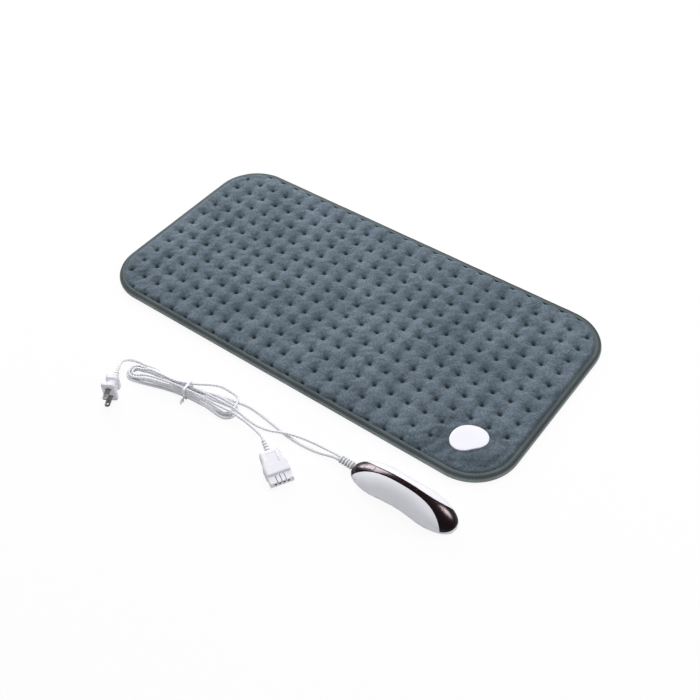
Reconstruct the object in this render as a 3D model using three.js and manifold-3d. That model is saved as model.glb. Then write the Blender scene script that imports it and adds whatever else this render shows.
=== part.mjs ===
// Heating pad: a tufted plush pad with a corner socket, and the hand controller with its two cords.
// Millimetres, +Z up. The origin is the middle of the pad's flat underside, +X runs along the pad.

import * as THREE from 'three';
import { mergeVertices } from 'three/addons/utils/BufferGeometryUtils.js';
import Module from 'manifold-3d';

const wasm = await Module();
wasm.setup();

// Clearances
const seatGap = 0.3;             // between pieces that rest on each other
const overcut = 2;               // how far a cutting tool passes a face
const roundLimit = 0.98;         // largest corner radius, as a share of the half side
const rodSides = 16;
const thinSides = 10;
const cornerFacets = 3;

// Pad outline and layers, from the floor up
const padLength = 610;
const padWidth = 305;
const padCorner = 60;
const bottomThickness = 3.2;
const bottomRound = 3;
const feltThickness = 1.1;
const wireDiameter = 1.6;
const lipThickness = 0.7;        // edge of both covers, held inside the binding
const lipInset = 2.6;
const tapeWidth = 8.2;           // binding tape, folded over the edge
const tapeThickness = 1.7;
const tapeRound = 1.4;
const tapeSide = 0.35;
const tapeBelly = 2.1;
const coverStep = 0.8;           // from the tape's inner edge to the covers' sides

// Tufts of the top cover, heights above the cover's underside
const tuftPitchX = 24.2;
const tuftPitchY = 23.9;
const tuftMargin = 26;           // least distance from the pad's edge to the outer tufts
const tuftHeight = 1.8;
const seamHeight = 5.4;
const puffHeight = 6.6;
const patchHeight = 3.9;         // flat patch round the socket
const patchReach = 34;
const patchRise = 20;            // how far the patch reaches in from the socket's middle

// Heating wire
const wireMargin = 37;           // from the pad's end to the wire's turns
const returnMargin = 20;         // from the pad's end to the return run
const returnBend = 17;
const wireSides = 6;

// Thermal cut-out on the wire
const cutoutLength = 16;
const cutoutWidth = 8;
const cutoutFromSocket = 100;

// Corner socket: a plucked-egg outline given by its mean radius and two waves
const socketFromEnd = 61.4;
const socketFromSide = 53.6;
const socketTurn = 47;           // degrees, direction of the plate's long axis
const plateRadius = 20.2;
const plateStretch = 2.7;
const plateCorners = 1;
const plateCornerTurn = -26;     // degrees, from the long axis
const plateSteps = 28;
const plateThickness = 1.8;
const plateBevel = 0.6;
const socketInset = 4.4;         // the housing lies inside the plate's outline
const socketFloor = 0.8;
const socketTop = 10.9;
const socketWall = 1.1;
const pocketDepth = 9;
const wellLength = 24;           // slot in the layers below, where the connector enters
const wellSide = 2;
const bossDiameter = 4.4;
const bossSpread = 14.6;
const bossFloor = 4.6;
const pinDiameter = 1.5;
const pinReach = 7;
const pinRoot = 3;

// Screws
const screwDiameter = 2.2;
const screwHead = 4.6;
const screwHeadHeight = 1.3;
const screwLength = 7;
const screwDrive = 1.4;
const screwDriveDepth = 0.8;
const screwHeadRound = 0.4;

// Controller body: sections along its length from the cord end
const setX = 160.5;              // cord end of the controller
const setGap = 51.5;             // from the pad's near side to the controller's axis
const controllerLength = 137;
const controllerAhead = 2.5;     // how far the body reaches over its strain relief
const controllerHalfWidth = 22.6;
const controllerTaper = 0.02;    // share by which the far end is wider than the middle
const cordPlanPower = 2.4;
const farPlanPower = 2.5;
const gripDepth = 4.2;           // shallow waist in the sides
const gripCentre = 0.02;
const gripReach = 0.62;
const crownPower = 2.4;
const underPower = 3.2;
const equatorEnds = 3;
const equatorArch = 7.6;
const crownEnds = 15.3;
const crownArch = 6.3;
const underArch = 2.9;
const underReach = 0.8;          // share of the half length where the underside meets the floor
const floorFlat = 0.9;           // depth of the flats that the body stands on
const shellWall = 2;
const endShare = 0.985;          // share of the half length that the outer skin covers
const innerShare = 0.93;
const lengthSteps = 18;
const roundSteps = 24;
const innerLengthSteps = 10;
const innerRoundSteps = 16;

// Dark band over the crown
const bandWaist = 3.4;
const bandFlare = 18.2;
const bandPower = 3.9;
const bandLean = 0.37;
const rimHeight = 6;
const bandSteps = 22;
const tubShare = 0.7;            // share of the length where the base keeps its whole floor

// Keys, light pipes and circuit board
const keyFacets = 5;
const keyProud = 0.4;
const keyDepth = 3;
const keyTravel = 0.8;
const flangeWidth = 0.9;
const flangeGap = 0.4;
const flangeThickness = 1;
const stemDiameter = 3.6;
const heatKeyPlace = 0.1715;     // share of the controller's length, from the cord end
const heatKeyLength = 15;
const heatKeyWidth = 6.4;
const powerKeyPlace = 0.832;
const powerKeyDiameter = 10.5;
const pipeDiameter = 2.2;
const pipeProud = 0.2;
const pipePitchShare = 0.0584;   // share of the controller's length
const pipeCount = 4;
const pipePlace = 0.533;
const boardFloor = 9.5;
const boardThickness = 1.6;
const boardShare = 0.774;
const boardWidth = 18;
const postDiameter = 4.4;
const postShare = 0.248;         // from the middle of the board
const coverBoss = 5.4;
const coverBossShare = 0.1715;
const switchSide = 6;
const switchHeight = 3.5;
const plungerDiameter = 3.2;
const plungerProud = 1.2;
const plungerDepth = 1.4;
const capacitorLength = 13;
const capacitorWidth = 6;
const capacitorHeight = 11;
const triacWidth = 10;
const triacThickness = 4.6;
const triacHeight = 12;
const fuseLength = 12;
const fuseDiameter = 4;
const chipLength = 7;
const chipWidth = 6;
const chipHeight = 1.8;
const partRound = 0.8;
const partOffset = 5.4;          // parts beside the row of light pipes

// Ribbed strain relief of the controller
const reliefLength = 20.5;
const reliefHeight = 6.5;        // axis above the floor
const reliefRibs = 5;
const reliefRibPitch = 3.3;
const reliefRadius = 4.6;
const reliefGroove = 0.8;
const reliefBevel = 0.2;
const reliefNeck = 3.6;
const reliefNeckLength = 9;
const reliefCollar = 4.6;
const reliefCollarLength = 1.6;
const reliefWide = 1.15;
const reliefFlat = 0.85;
const reliefSides = 10;

// Cords
const mainsDiameter = 3.8;
const leadDiameter = 3.2;
const cordSides = 8;
const cordStep = 9;
const cordRise = 0.15;           // free cords lie this much above the floor

// Hank of both cords
const hankX = -240;            // middle of the hank, from the controller's cord end
const hankY = -30;
const hankTurn = 9;              // degrees
const hankLift = 1;              // room for the tie below
const foldAt = 66;               // centre of the end folds, from the middle
const loopSteps = 24;
const runSteps = 7;
const loopSides = 6;
const layerGap = 0.5;
const settlePower = 8;           // piled at the waist, flat on the floor only near the folds
const mainsFold = 15.9;
const mainsWaist = 7.9;
const mainsStep = 4.5;           // from one fold to the next one inside it
const mainsDraw = 2.5;           // the same at the waist
const mainsTurnBack = 2.5;       // runs after which the folds widen again
const mainsTurns = 2 + runSteps / loopSteps;
const leadFold = 11.2;
const leadWaist = 6.2;
const leadStep = 2;
const leadDraw = 1.5;
const leadTurnBack = 3;
const leadJoin = -3;             // along the hank, where the free lead joins its loops
const leadStart = (runSteps / loopSteps / 2) * (1 - leadJoin / foldAt);
const leadEnd = 1.5 + (runSteps / loopSteps / 2) * (1 + leadJoin / foldAt);
const bightOut = 17.4;           // loose bight of the pad lead beside the hank
const bightSag = 8;              // power that keeps the bight high where it crosses the loops
const bightStart = 0.82;
const bightEnd = 1.18;

// Tie round the hank
const tieAt = 10;
const tieWidth = 3;
const tieThickness = 0.7;
const tieTail = 9;
const tieTailWidth = 4.4;
const tieTailTurns = 0.75;
const tieTailHeight = 4;
const tieTailSteps = 9;

// Pad connector
const connectorX = -108.6;
const connectorY = -31.4;
const connectorZ = 6.8;
const connectorTurn = -30;       // degrees
const connectorRelief = 20;
const connectorBack = 13;
const connectorShoulder = 21;
const connectorLength = 34;
const connectorWidth = 29.4;
const connectorNeckWidth = 24;
const connectorHeight = 13.6;
const connectorRound = 3;
const connectorBevel = 1.2;
const noseLength = 10.5;
const noseHeight = 7.6;
const chamberPitch = 5.1;
const chamberCount = 4;
const noseSide = 3.8;            // beside the row of chambers
const noseRound = 1.2;
const slitWidth = 0.8;
const slitDepth = 9.6;
const contactDiameter = 2.6;
const contactBore = 1.8;
const contactLength = 9;
const panelLength = 17;
const panelWidth = 12.5;
const panelDepth = 0.7;
const panelStart = 4.5;

// Mains plug, lying on its edge
const plugX = -317.8;
const plugY = -59;
const plugTurn = -59.7;          // degrees
const plugRelief = 11.5;
const plugLength = 22.5;
const plugFaceHeight = 28.5;
const plugFaceThickness = 17;
const plugWaistHeight = 18;
const plugWaistThickness = 11;
const plugBackHeight = 12;
const plugBackThickness = 9;
const plugGripHeight = 23;
const plugGripThickness = 15;
const plugGripStart = 3;
const plugGripEnd = 8;
const plugFlange = 3.6;
const plugRound = 3.5;
const plugBevel = 0.8;
const bladeSpacing = 12.7;
const bladeLength = 15.9;
const bladeWidth = 6.35;
const bladeThickness = 1.5;
const bladeHole = 3;
const bladeHoleFromTip = 4.1;
const bladeChamfer = 1.6;
const bladeRoot = 4;

// Moulded reliefs of both plugs
const reliefTipOver = 1.2;       // how much wider than its cord a moulded relief starts
const grooveStart = 0.6;         // share of a groove's pitch before it begins
const grooveEnd = 0.5;           // share of a pitch left after the last groove
const grooveDepth = 0.16;        // share of the radius
const grooveBevel = 0.2;
const connectorReliefEnd = 7.2;
const connectorGrooves = 4;
const plugGrooves = 2;

// Derived heights
const feltFloor = bottomThickness + seatGap;
const feltTop = feltFloor + feltThickness;
const wireHeight = feltTop + seatGap + wireDiameter / 2;
const topFloor = wireHeight + wireDiameter / 2 + seatGap;
const coverInset = tapeWidth + coverStep;
const slotFloor = bottomThickness - lipThickness - seatGap;
const slotTop = topFloor + lipThickness + seatGap;
const socketX = padLength / 2 - socketFromEnd;
const socketY = -padWidth / 2 + socketFromSide;
const pocketHeight = socketTop - socketFloor - 2 * socketWall;
const noseWidth = chamberPitch * chamberCount + 2 * noseSide;
const pocketWidth = noseWidth + 2 * seatGap;
const boardTop = boardFloor + boardThickness;
const boardLength = boardShare * controllerLength;
const postSpread = postShare * controllerLength;
const coverBossSpread = coverBossShare * controllerLength;
const heatKeyAt = heatKeyPlace * controllerLength;
const powerKeyAt = powerKeyPlace * controllerLength;
const pipeCentre = pipePlace * controllerLength;
const pipePitch = pipePitchShare * controllerLength;
const tuftColumns = Math.floor((padLength - 2 * tuftMargin) / tuftPitchX) + 1;
const tuftRows = Math.floor((padWidth - 2 * tuftMargin) / tuftPitchY) + 1;

// Materials
function finish(colour, roughness, metalness = 0) {
  return new THREE.MeshStandardMaterial({ color: colour, roughness, metalness });
}

const plush = () => finish(0x66727f, 0.95);
const tape = () => finish(0x56626b, 0.9);
const felt = () => finish(0xb9b4a8, 0.95);
const whitePlastic = () => finish(0xf1f1f3, 0.35);
const darkGloss = () => finish(0x2a1f25, 0.12);
const cordPlastic = () => finish(0xe9e9ec, 0.5);
const brass = () => finish(0xc9a24f, 0.35, 1);
const nickel = () => finish(0x8d8b86, 0.3, 1);
const steel = () => finish(0xb4b6ba, 0.35, 1);

// Solid helpers
function toSolid(geometry) {
  const bare = geometry.clone();
  bare.deleteAttribute('normal');
  bare.deleteAttribute('uv');
  const merged = mergeVertices(bare, 1e-3);
  const vertProperties = new Float32Array(merged.attributes.position.array);
  const triVerts = new Uint32Array(merged.index.array);
  return new wasm.Manifold(new wasm.Mesh({ numProp: 3, vertProperties, triVerts }));
}

function toGeometry(solid) {
  const mesh = solid.getMesh();
  const geometry = new THREE.BufferGeometry();
  geometry.setAttribute('position', new THREE.BufferAttribute(new Float32Array(mesh.vertProperties), 3));
  geometry.setIndex(new THREE.BufferAttribute(new Uint32Array(mesh.triVerts), 1));
  return geometry;
}

function subtract(base, ...tools) {
  return tools.reduce((solid, tool) => solid.subtract(tool), base);
}

function join(base, ...others) {
  return others.reduce((solid, other) => solid.add(other), base);
}

function addPart(group, name, shape, material) {
  const geometry = shape.isBufferGeometry ? shape : toGeometry(shape);
  geometry.computeVertexNormals();
  const mesh = new THREE.Mesh(geometry, material);
  mesh.name = name;
  group.add(mesh);
}

// Closed skin over rings of equal point count; a ring list that closes on itself has no caps
function loft(rings, closed = false) {
  const count = rings[0].length;
  const points = rings.flat();
  const faces = [];
  const links = closed ? rings.length : rings.length - 1;
  for (let ring = 0; ring < links; ring += 1) {
    const here = ring * count;
    const next = ((ring + 1) % rings.length) * count;
    for (let k = 0; k < count; k += 1) {
      const after = (k + 1) % count;
      faces.push([here + k, here + after, next + after], [here + k, next + after, next + k]);
    }
  }
  if (!closed) {
    const last = (rings.length - 1) * count;
    for (let k = 1; k < count - 1; k += 1) {
      faces.push([0, k + 1, k], [last, last + k, last + k + 1]);
    }
  }
  return skin(points, faces);
}

// Geometry from points and triangles, turned so that its faces point outwards
function skin(points, faces) {
  const volume = faces.reduce((sum, [a, b, c]) => {
    return sum + points[a].dot(points[b].clone().cross(points[c]));
  }, 0);
  const geometry = new THREE.BufferGeometry().setFromPoints(points);
  geometry.setIndex(faces.map(([a, b, c]) => (volume > 0 ? [a, b, c] : [a, c, b])).flat());
  return geometry;
}

function roundedRectangle(halfX, halfY, radius, cornerSteps) {
  const points = [];
  for (let corner = 0; corner < 4; corner += 1) {
    const centreX = (corner === 0 || corner === 3 ? 1 : -1) * (halfX - radius);
    const centreY = (corner < 2 ? 1 : -1) * (halfY - radius);
    for (let step = 0; step <= cornerSteps; step += 1) {
      const angle = ((corner + step / cornerSteps) * Math.PI) / 2;
      points.push(new THREE.Vector2(centreX + radius * Math.cos(angle), centreY + radius * Math.sin(angle)));
    }
  }
  return points;
}

function prism(outline, floor, top) {
  const geometry = new THREE.ExtrudeGeometry(new THREE.Shape(outline), {
    depth: top - floor,
    bevelEnabled: false,
  });
  return geometry.translate(0, 0, floor);
}

function block(sizeX, sizeY, sizeZ, x, y, z) {
  return new THREE.BoxGeometry(sizeX, sizeY, sizeZ).translate(x, y, z);
}

function rod(diameter, floor, top, x, y, sides = rodSides) {
  const geometry = new THREE.CylinderGeometry(diameter / 2, diameter / 2, top - floor, sides);
  return geometry.rotateX(Math.PI / 2).translate(x, y, (floor + top) / 2);
}

// Rod along +X from one station to another
function rodX(diameter, from, to, y, z, sides = thinSides) {
  const geometry = new THREE.CylinderGeometry(diameter / 2, diameter / 2, to - from, sides);
  return geometry.rotateZ(Math.PI / 2).translate((from + to) / 2, y, z);
}

// Section across +X: a rounded rectangle of width along Y and height along Z
function sectionX(x, width, height, radius, z = 0, cornerSteps = cornerFacets) {
  const limit = Math.min(radius, (roundLimit * width) / 2, (roundLimit * height) / 2);
  return roundedRectangle(width / 2, height / 2, limit, cornerSteps).map((p) => {
    return new THREE.Vector3(x, p.x, z + p.y);
  });
}

// Curve whose steps fall on its own points
class StepCurve extends THREE.Curve {
  constructor(points) {
    super();
    this.points = points;
  }

  getPoint(share, target = new THREE.Vector3()) {
    const place = share * (this.points.length - 1);
    const index = Math.min(Math.floor(place), this.points.length - 2);
    return target.lerpVectors(this.points[index], this.points[index + 1], place - index);
  }

  getPointAt(share, target) {
    return this.getPoint(share, target);
  }

  getTangentAt(share, target = new THREE.Vector3()) {
    const index = Math.round(share * (this.points.length - 1));
    const before = this.points[Math.max(index - 1, 0)];
    const after = this.points[Math.min(index + 1, this.points.length - 1)];
    return target.subVectors(after, before).normalize();
  }
}

function circleShape(diameter, sides) {
  const points = [];
  for (let k = 0; k < sides; k += 1) {
    const angle = (k / sides) * 2 * Math.PI;
    points.push(new THREE.Vector2((diameter / 2) * Math.cos(angle), (diameter / 2) * Math.sin(angle)));
  }
  return new THREE.Shape(points);
}

function tube(curve, steps, diameter, sides) {
  return new THREE.ExtrudeGeometry(circleShape(diameter, sides), {
    steps,
    extrudePath: curve,
    bevelEnabled: false,
  });
}

function cord(points, diameter) {
  const curve = new THREE.CatmullRomCurve3(points, false, 'centripetal');
  return tube(curve, Math.ceil(curve.getLength() / cordStep), diameter, cordSides);
}

const radians = THREE.MathUtils.degToRad;

// Pad: outline at an inset from its edge
function padRing(inset, z, cornerSteps = 6) {
  const halfX = padLength / 2 - inset;
  const halfY = padWidth / 2 - inset;
  return roundedRectangle(halfX, halfY, padCorner - inset, cornerSteps).map((p) => {
    return new THREE.Vector3(p.x, p.y, z);
  });
}

// Socket outline at an inset from the plate's edge, and its own frame with +X out of the mouth
function socketOutline(inset) {
  const points = [];
  for (let k = 0; k < plateSteps; k += 1) {
    const angle = (k / plateSteps) * 2 * Math.PI;
    const wave = plateStretch * Math.cos(2 * (angle - Math.PI / 2));
    const corner = plateCorners * Math.cos(3 * (angle - Math.PI / 2 - radians(plateCornerTurn)));
    const reach = plateRadius + wave + corner - inset;
    points.push(new THREE.Vector2(reach * Math.cos(angle), reach * Math.sin(angle)));
  }
  return points;
}

const socketFrame = new THREE.Matrix4()
  .makeTranslation(socketX, socketY, 0)
  .multiply(new THREE.Matrix4().makeRotationZ(radians(socketTurn - 90)));

function atSocket(geometry) {
  return geometry.applyMatrix4(socketFrame);
}

const mouthFront = plateRadius - plateStretch - socketInset;
const pocketBack = mouthFront - pocketDepth;
const socketMiddle = (socketFloor + socketTop) / 2;

function socketHole() {
  return toSolid(atSocket(prism(socketOutline(socketInset - seatGap), -overcut, socketTop + overcut)));
}

function connectorWell() {
  const length = mouthFront + wellLength;
  const width = pocketWidth + 2 * wellSide;
  const height = topFloor + overcut;
  return toSolid(atSocket(block(length, width, height, length / 2, 0, height / 2 - overcut)));
}

function bottomCover() {
  const lipFloor = bottomThickness - lipThickness;
  const rings = [
    padRing(lipInset, bottomThickness),
    padRing(lipInset, lipFloor),
    padRing(coverInset, lipFloor),
    padRing(coverInset + bottomRound, 0),
  ];
  return subtract(toSolid(loft(rings)), socketHole(), connectorWell());
}

const wireRuns = tuftRows - 1;
const runY = (run) => (run - (wireRuns - 1) / 2) * tuftPitchY;
const cutoutX = socketX - cutoutFromSocket;
const cutoutY = runY(Math.floor(wireRuns / 2) - 0.5);

function feltCarrier() {
  const plate = loft([padRing(coverInset, feltTop), padRing(coverInset, feltFloor)]);
  const cutoutHole = block(
    cutoutLength + 2 * seatGap,
    cutoutWidth + 2 * seatGap,
    feltThickness + 2 * overcut,
    cutoutX,
    cutoutY,
    feltFloor,
  );
  return subtract(toSolid(plate), socketHole(), connectorWell(), toSolid(cutoutHole));
}

// Height of the tufted skin at a place of the half-pitch lattice: odd columns and odd rows hold tufts
function tuftedHeight(column, row, x, y) {
  const awayX = socketX - x;
  const awayY = y - socketY;
  if (awayX < patchReach && awayY < patchRise) {
    return patchHeight;
  }
  const onColumn = Math.abs(column) % 2 === (tuftColumns - 1) % 2;
  const onRow = Math.abs(row) % 2 === (tuftRows - 1) % 2;
  if (onColumn && onRow) {
    return tuftHeight;
  }
  return onColumn || onRow ? seamHeight : puffHeight;
}

// Strip of triangles between two rings round the pad's middle, by their turn angle
function bridge(points, outer, inner) {
  const angleOf = (index) => Math.atan2(points[index].y, points[index].x);
  const start = (ring) => {
    const first = ring.reduce((best, index, k) => (angleOf(index) < angleOf(ring[best]) ? k : best), 0);
    return [...ring.slice(first), ...ring.slice(0, first)];
  };
  const a = start(outer);
  const b = start(inner);
  const faces = [];
  let i = 0;
  let j = 0;
  while (i < a.length || j < b.length) {
    const nextA = i < a.length - 1 ? angleOf(a[i + 1]) : Math.PI;
    const nextB = j < b.length - 1 ? angleOf(b[j + 1]) : Math.PI;
    const here = a[i % a.length];
    const there = b[j % b.length];
    if (j >= b.length || (i < a.length && nextA <= nextB)) {
      faces.push([here, a[(i + 1) % a.length], there]);
      i += 1;
    } else {
      faces.push([here, b[(j + 1) % b.length], there]);
      j += 1;
    }
  }
  return faces;
}

function topCover() {
  const lastColumn = tuftColumns - 1;
  const lastRow = tuftRows;
  const columns = 2 * lastColumn + 1;
  const rows = 2 * lastRow + 1;
  const edge = coverInset + 2 * coverStep;
  const cornerReach = padCorner - edge - coverStep;
  const points = [];
  for (let row = -lastRow; row <= lastRow; row += 1) {
    for (let column = -lastColumn; column <= lastColumn; column += 1) {
      const place = new THREE.Vector2((column * tuftPitchX) / 2, (row * tuftPitchY) / 2);
      const height = topFloor + tuftedHeight(column, row, place.x, place.y);
      const centre = new THREE.Vector2(
        Math.sign(place.x) * (padLength / 2 - padCorner),
        Math.sign(place.y) * (padWidth / 2 - padCorner),
      );
      const past = place.clone().sub(centre);
      if (past.x * place.x > 0 && past.y * place.y > 0 && past.length() > cornerReach) {
        place.copy(centre).add(past.setLength(cornerReach));
      }
      points.push(new THREE.Vector3(place.x, place.y, height));
    }
  }
  const at = (column, row) => row * columns + column;
  const faces = [];
  for (let row = 0; row < rows - 1; row += 1) {
    for (let column = 0; column < columns - 1; column += 1) {
      const corners = [at(column, row), at(column + 1, row), at(column + 1, row + 1), at(column, row + 1)];
      const [a, b, c, d] = corners;
      const level = points[a].z + points[c].z < points[b].z + points[d].z;
      faces.push(...(level ? [[a, b, c], [a, c, d]] : [[a, b, d], [b, c, d]]));
    }
  }
  const border = [];
  for (let column = 0; column < columns - 1; column += 1) border.push(at(column, 0));
  for (let row = 0; row < rows - 1; row += 1) border.push(at(columns - 1, row));
  for (let column = columns - 1; column > 0; column -= 1) border.push(at(column, rows - 1));
  for (let row = rows - 1; row > 0; row -= 1) border.push(at(0, row));

  const lipTop = topFloor + lipThickness;
  const rim = edgeRing(points, coverInset, lipTop);
  const lip = edgeRing(points, lipInset, lipTop);
  const base = edgeRing(points, lipInset, topFloor);
  faces.push(...bridge(points, rim, border), ...bridge(points, lip, rim), ...bridge(points, base, lip));
  for (let k = 1; k < base.length - 1; k += 1) {
    faces.push([base[0], base[k + 1], base[k]]);
  }
  return subtract(toSolid(skin(points, faces)), socketHole());
}

// Pad ring with a few points along each side as well as round its corners
function edgeRing(points, inset, z) {
  const corners = padRing(inset, z, cornerFacets);
  const sideSteps = 6;
  const ring = [];
  corners.forEach((point, k) => {
    const next = corners[(k + 1) % corners.length];
    const steps = point.distanceTo(next) > padCorner ? sideSteps : 1;
    for (let step = 0; step < steps; step += 1) {
      ring.push(points.length);
      points.push(point.clone().lerp(next, step / steps));
    }
  });
  return ring;
}

function edgeBinding() {
  const floor = slotFloor - tapeThickness;
  const top = slotTop + tapeThickness;
  const middle = (floor + top) / 2;
  const slotInset = lipInset - seatGap;
  const profile = [
    [0, middle],
    [tapeSide, middle + tapeBelly],
    [tapeRound, top - tapeRound / 2],
    [tapeWidth / 2, top],
    [tapeWidth, top - tapeRound / 2],
    [tapeWidth, slotTop],
    [slotInset, slotTop],
    [slotInset, slotFloor],
    [tapeWidth, slotFloor],
    [tapeWidth, floor + tapeRound / 2],
    [tapeWidth / 2, floor],
    [tapeRound, floor + tapeRound / 2],
    [tapeSide, middle - tapeBelly],
  ];
  return loft(profile.map(([inset, z]) => padRing(inset, z)), true);
}

function heatingWire() {
  const left = -padLength / 2 + wireMargin;
  const fullRight = padLength / 2 - wireMargin;
  const shortRight = socketX - plateRadius - tuftPitchX / 2;
  const nearSocket = socketY + patchReach;
  const turnSteps = 4;
  const radius = tuftPitchY / 2;
  const rightEnd = (run) => (runY(run) < nearSocket ? shortRight : fullRight);
  const points = [new THREE.Vector3(rightEnd(0), runY(0), wireHeight)];
  const turn = (x, run, side) => {
    for (let step = 0; step <= turnSteps; step += 1) {
      const angle = (-0.5 + step / turnSteps) * Math.PI;
      const reach = side * radius * Math.cos(angle);
      points.push(new THREE.Vector3(x + reach, runY(run) + radius * (1 + Math.sin(angle)), wireHeight));
    }
  };
  for (let run = 0; run < wireRuns - 1; run += 1) {
    const leftward = run % 2 === 0;
    turn(leftward ? left : Math.min(rightEnd(run), rightEnd(run + 1)), run, leftward ? -1 : 1);
  }
  const returnX = padLength / 2 - returnMargin;
  const lastY = runY(wireRuns - 1);
  for (let step = 0; step <= turnSteps; step += 1) {
    const angle = (0.5 - (0.5 * step) / turnSteps) * Math.PI;
    const x = returnX - returnBend + returnBend * Math.cos(angle);
    points.push(new THREE.Vector3(x, lastY - returnBend + returnBend * Math.sin(angle), wireHeight));
  }
  points.push(new THREE.Vector3(returnX, socketY + patchReach + returnBend, wireHeight));
  points.push(new THREE.Vector3(returnX - returnBend / 2, socketY + patchReach, wireHeight));
  return tube(new StepCurve(points), points.length - 1, wireDiameter, wireSides);
}

function thermalCutout() {
  const outline = roundedRectangle(cutoutLength / 2, cutoutWidth / 2, cutoutWidth / 4, cornerFacets);
  const top = wireHeight + wireDiameter / 2;
  return prism(outline, feltFloor, top).translate(cutoutX, cutoutY, 0);
}

// Self-tapping screw, head down, its head's underside at the given height
function screw(x, y, floor) {
  const head = screwHead / 2;
  const shank = screwDiameter / 2;
  const drive = screwDrive / 2;
  const profile = [
    new THREE.Vector2(0, screwDriveDepth),
    new THREE.Vector2(drive, screwDriveDepth),
    new THREE.Vector2(drive, 0),
    new THREE.Vector2(head - screwHeadRound, 0),
    new THREE.Vector2(head, screwHeadRound),
    new THREE.Vector2(head, screwHeadHeight),
    new THREE.Vector2(shank, screwHeadHeight),
    new THREE.Vector2(shank, screwHeadHeight + screwLength - shank),
    new THREE.Vector2(0, screwHeadHeight + screwLength),
  ];
  return new THREE.LatheGeometry(profile, thinSides).rotateX(Math.PI / 2).translate(x, y, floor);
}

const screwHole = screwDiameter + 2 * seatGap;
const headHole = screwHead + 2 * seatGap;

function socketBase() {
  const body = toSolid(prism(socketOutline(socketInset), socketFloor, socketTop));
  const pocketLength = pocketDepth + overcut * 2;
  const pocketX = pocketBack + pocketLength / 2;
  const tools = [block(pocketLength, pocketWidth, pocketHeight, pocketX, 0, socketMiddle)];
  const pinHole = pinDiameter + 2 * seatGap;
  for (let pin = 0; pin < chamberCount; pin += 1) {
    tools.push(rodX(pinHole, pocketBack - pinRoot, pocketBack + overcut, pinY(pin), socketMiddle));
  }
  for (const side of [-1, 1]) {
    const y = side * bossSpread;
    tools.push(rod(bossDiameter + 2 * seatGap, bossFloor - seatGap, socketTop + overcut, 0, y));
    tools.push(rod(screwHole, 0, bossFloor, 0, y));
    tools.push(rod(headHole, 0, socketFloor + screwHeadHeight + 2 * seatGap, 0, y));
  }
  return atSocket(toGeometry(subtract(body, ...tools.map(toSolid))));
}

function pinY(pin) {
  return (pin - (chamberCount - 1) / 2) * chamberPitch;
}

function socketPin(pin) {
  const from = pocketBack - pinRoot + seatGap;
  return atSocket(rodX(pinDiameter, from, pocketBack + pinReach, pinY(pin), socketMiddle));
}

function socketPlate() {
  const plate = new THREE.ExtrudeGeometry(new THREE.Shape(socketOutline(plateBevel)), {
    depth: plateThickness - 2 * plateBevel,
    bevelThickness: plateBevel,
    bevelSize: plateBevel,
    bevelSegments: 2,
  });
  plate.translate(0, 0, socketTop + seatGap + plateBevel);
  const bosses = [-1, 1].map((side) => {
    return rod(bossDiameter, bossFloor, socketTop + seatGap + plateBevel, 0, side * bossSpread);
  });
  const bores = [-1, 1].map((side) => {
    return rod(screwHole, bossFloor - overcut, socketTop - seatGap, 0, side * bossSpread);
  });
  return atSocket(toGeometry(subtract(join(toSolid(plate), ...bosses.map(toSolid)), ...bores.map(toSolid))));
}

// Controller sections: share runs from -1 at the cord end to 1 at the far end
function endRound(share, power) {
  return (1 - Math.abs(share) ** power) ** (1 / power);
}

function equatorAt(share) {
  return equatorEnds + equatorArch * (1 - share * share);
}

function crownRise(share) {
  return (crownEnds + crownArch * (1 - share * share)) * endRound(share, crownPower);
}

function undersideAt(share) {
  return Math.max(underArch * (1 - (share / underReach) ** 2), 0) - floorFlat;
}

function crownAt(along) {
  const share = (2 * along) / controllerLength - 1;
  return equatorAt(share) + crownRise(share);
}

function halfWidthAt(share) {
  const plan = endRound(share, share < 0 ? cordPlanPower : farPlanPower);
  const grip = Math.max(1 - ((share - gripCentre) / gripReach) ** 2, 0) ** 2;
  return controllerHalfWidth * (1 + controllerTaper * share) * plan - gripDepth * grip;
}

function controllerRing(share, inset, steps) {
  const half = halfWidthAt(share) - inset;
  const equator = equatorAt(share);
  const rise = crownRise(share) - inset;
  const drop = (equator - undersideAt(share)) * endRound(share, 2 * crownPower) - inset;
  const ring = [];
  for (let k = 0; k < steps; k += 1) {
    const angle = (k / steps) * 2 * Math.PI;
    const up = Math.sin(angle) >= 0;
    const power = 2 / (up ? 2 : underPower);
    const across = Math.sign(Math.cos(angle)) * Math.abs(Math.cos(angle)) ** power;
    const height = Math.abs(Math.sin(angle)) ** power;
    const z = up ? equator + rise * height : equator - drop * height;
    ring.push(new THREE.Vector3(((share + 1) * controllerLength) / 2, half * across, z));
  }
  return ring;
}

function controllerBody(inset) {
  const inside = inset > keyProud;
  const reach = inside ? innerShare : endShare;
  const steps = inside ? innerLengthSteps : lengthSteps;
  const rings = [];
  for (let step = 0; step <= steps; step += 1) {
    const share = reach * Math.sin((step / steps - 0.5) * Math.PI);
    rings.push(controllerRing(share, inset, inside ? innerRoundSteps : roundSteps));
  }
  return toSolid(loft(rings));
}

function bandPrism(margin, floor) {
  const side = [];
  for (let step = 0; step <= bandSteps; step += 1) {
    const share = ((2 * step) / bandSteps - 1) * (1 + 1 / bandSteps);
    const half = bandWaist + bandFlare * Math.abs(share) ** bandPower * (1 + bandLean * share) + margin;
    side.push(new THREE.Vector2(((share + 1) * controllerLength) / 2, half));
  }
  const mirrored = side.map((p) => new THREE.Vector2(p.x, -p.y)).reverse();
  const tub = block(tubShare * controllerLength, 4 * controllerHalfWidth, 2 * boardFloor, boardMiddle, 0, 0);
  return toSolid(prism([...mirrored, ...side].reverse(), floor, skyHeight)).subtract(toSolid(tub));
}

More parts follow.
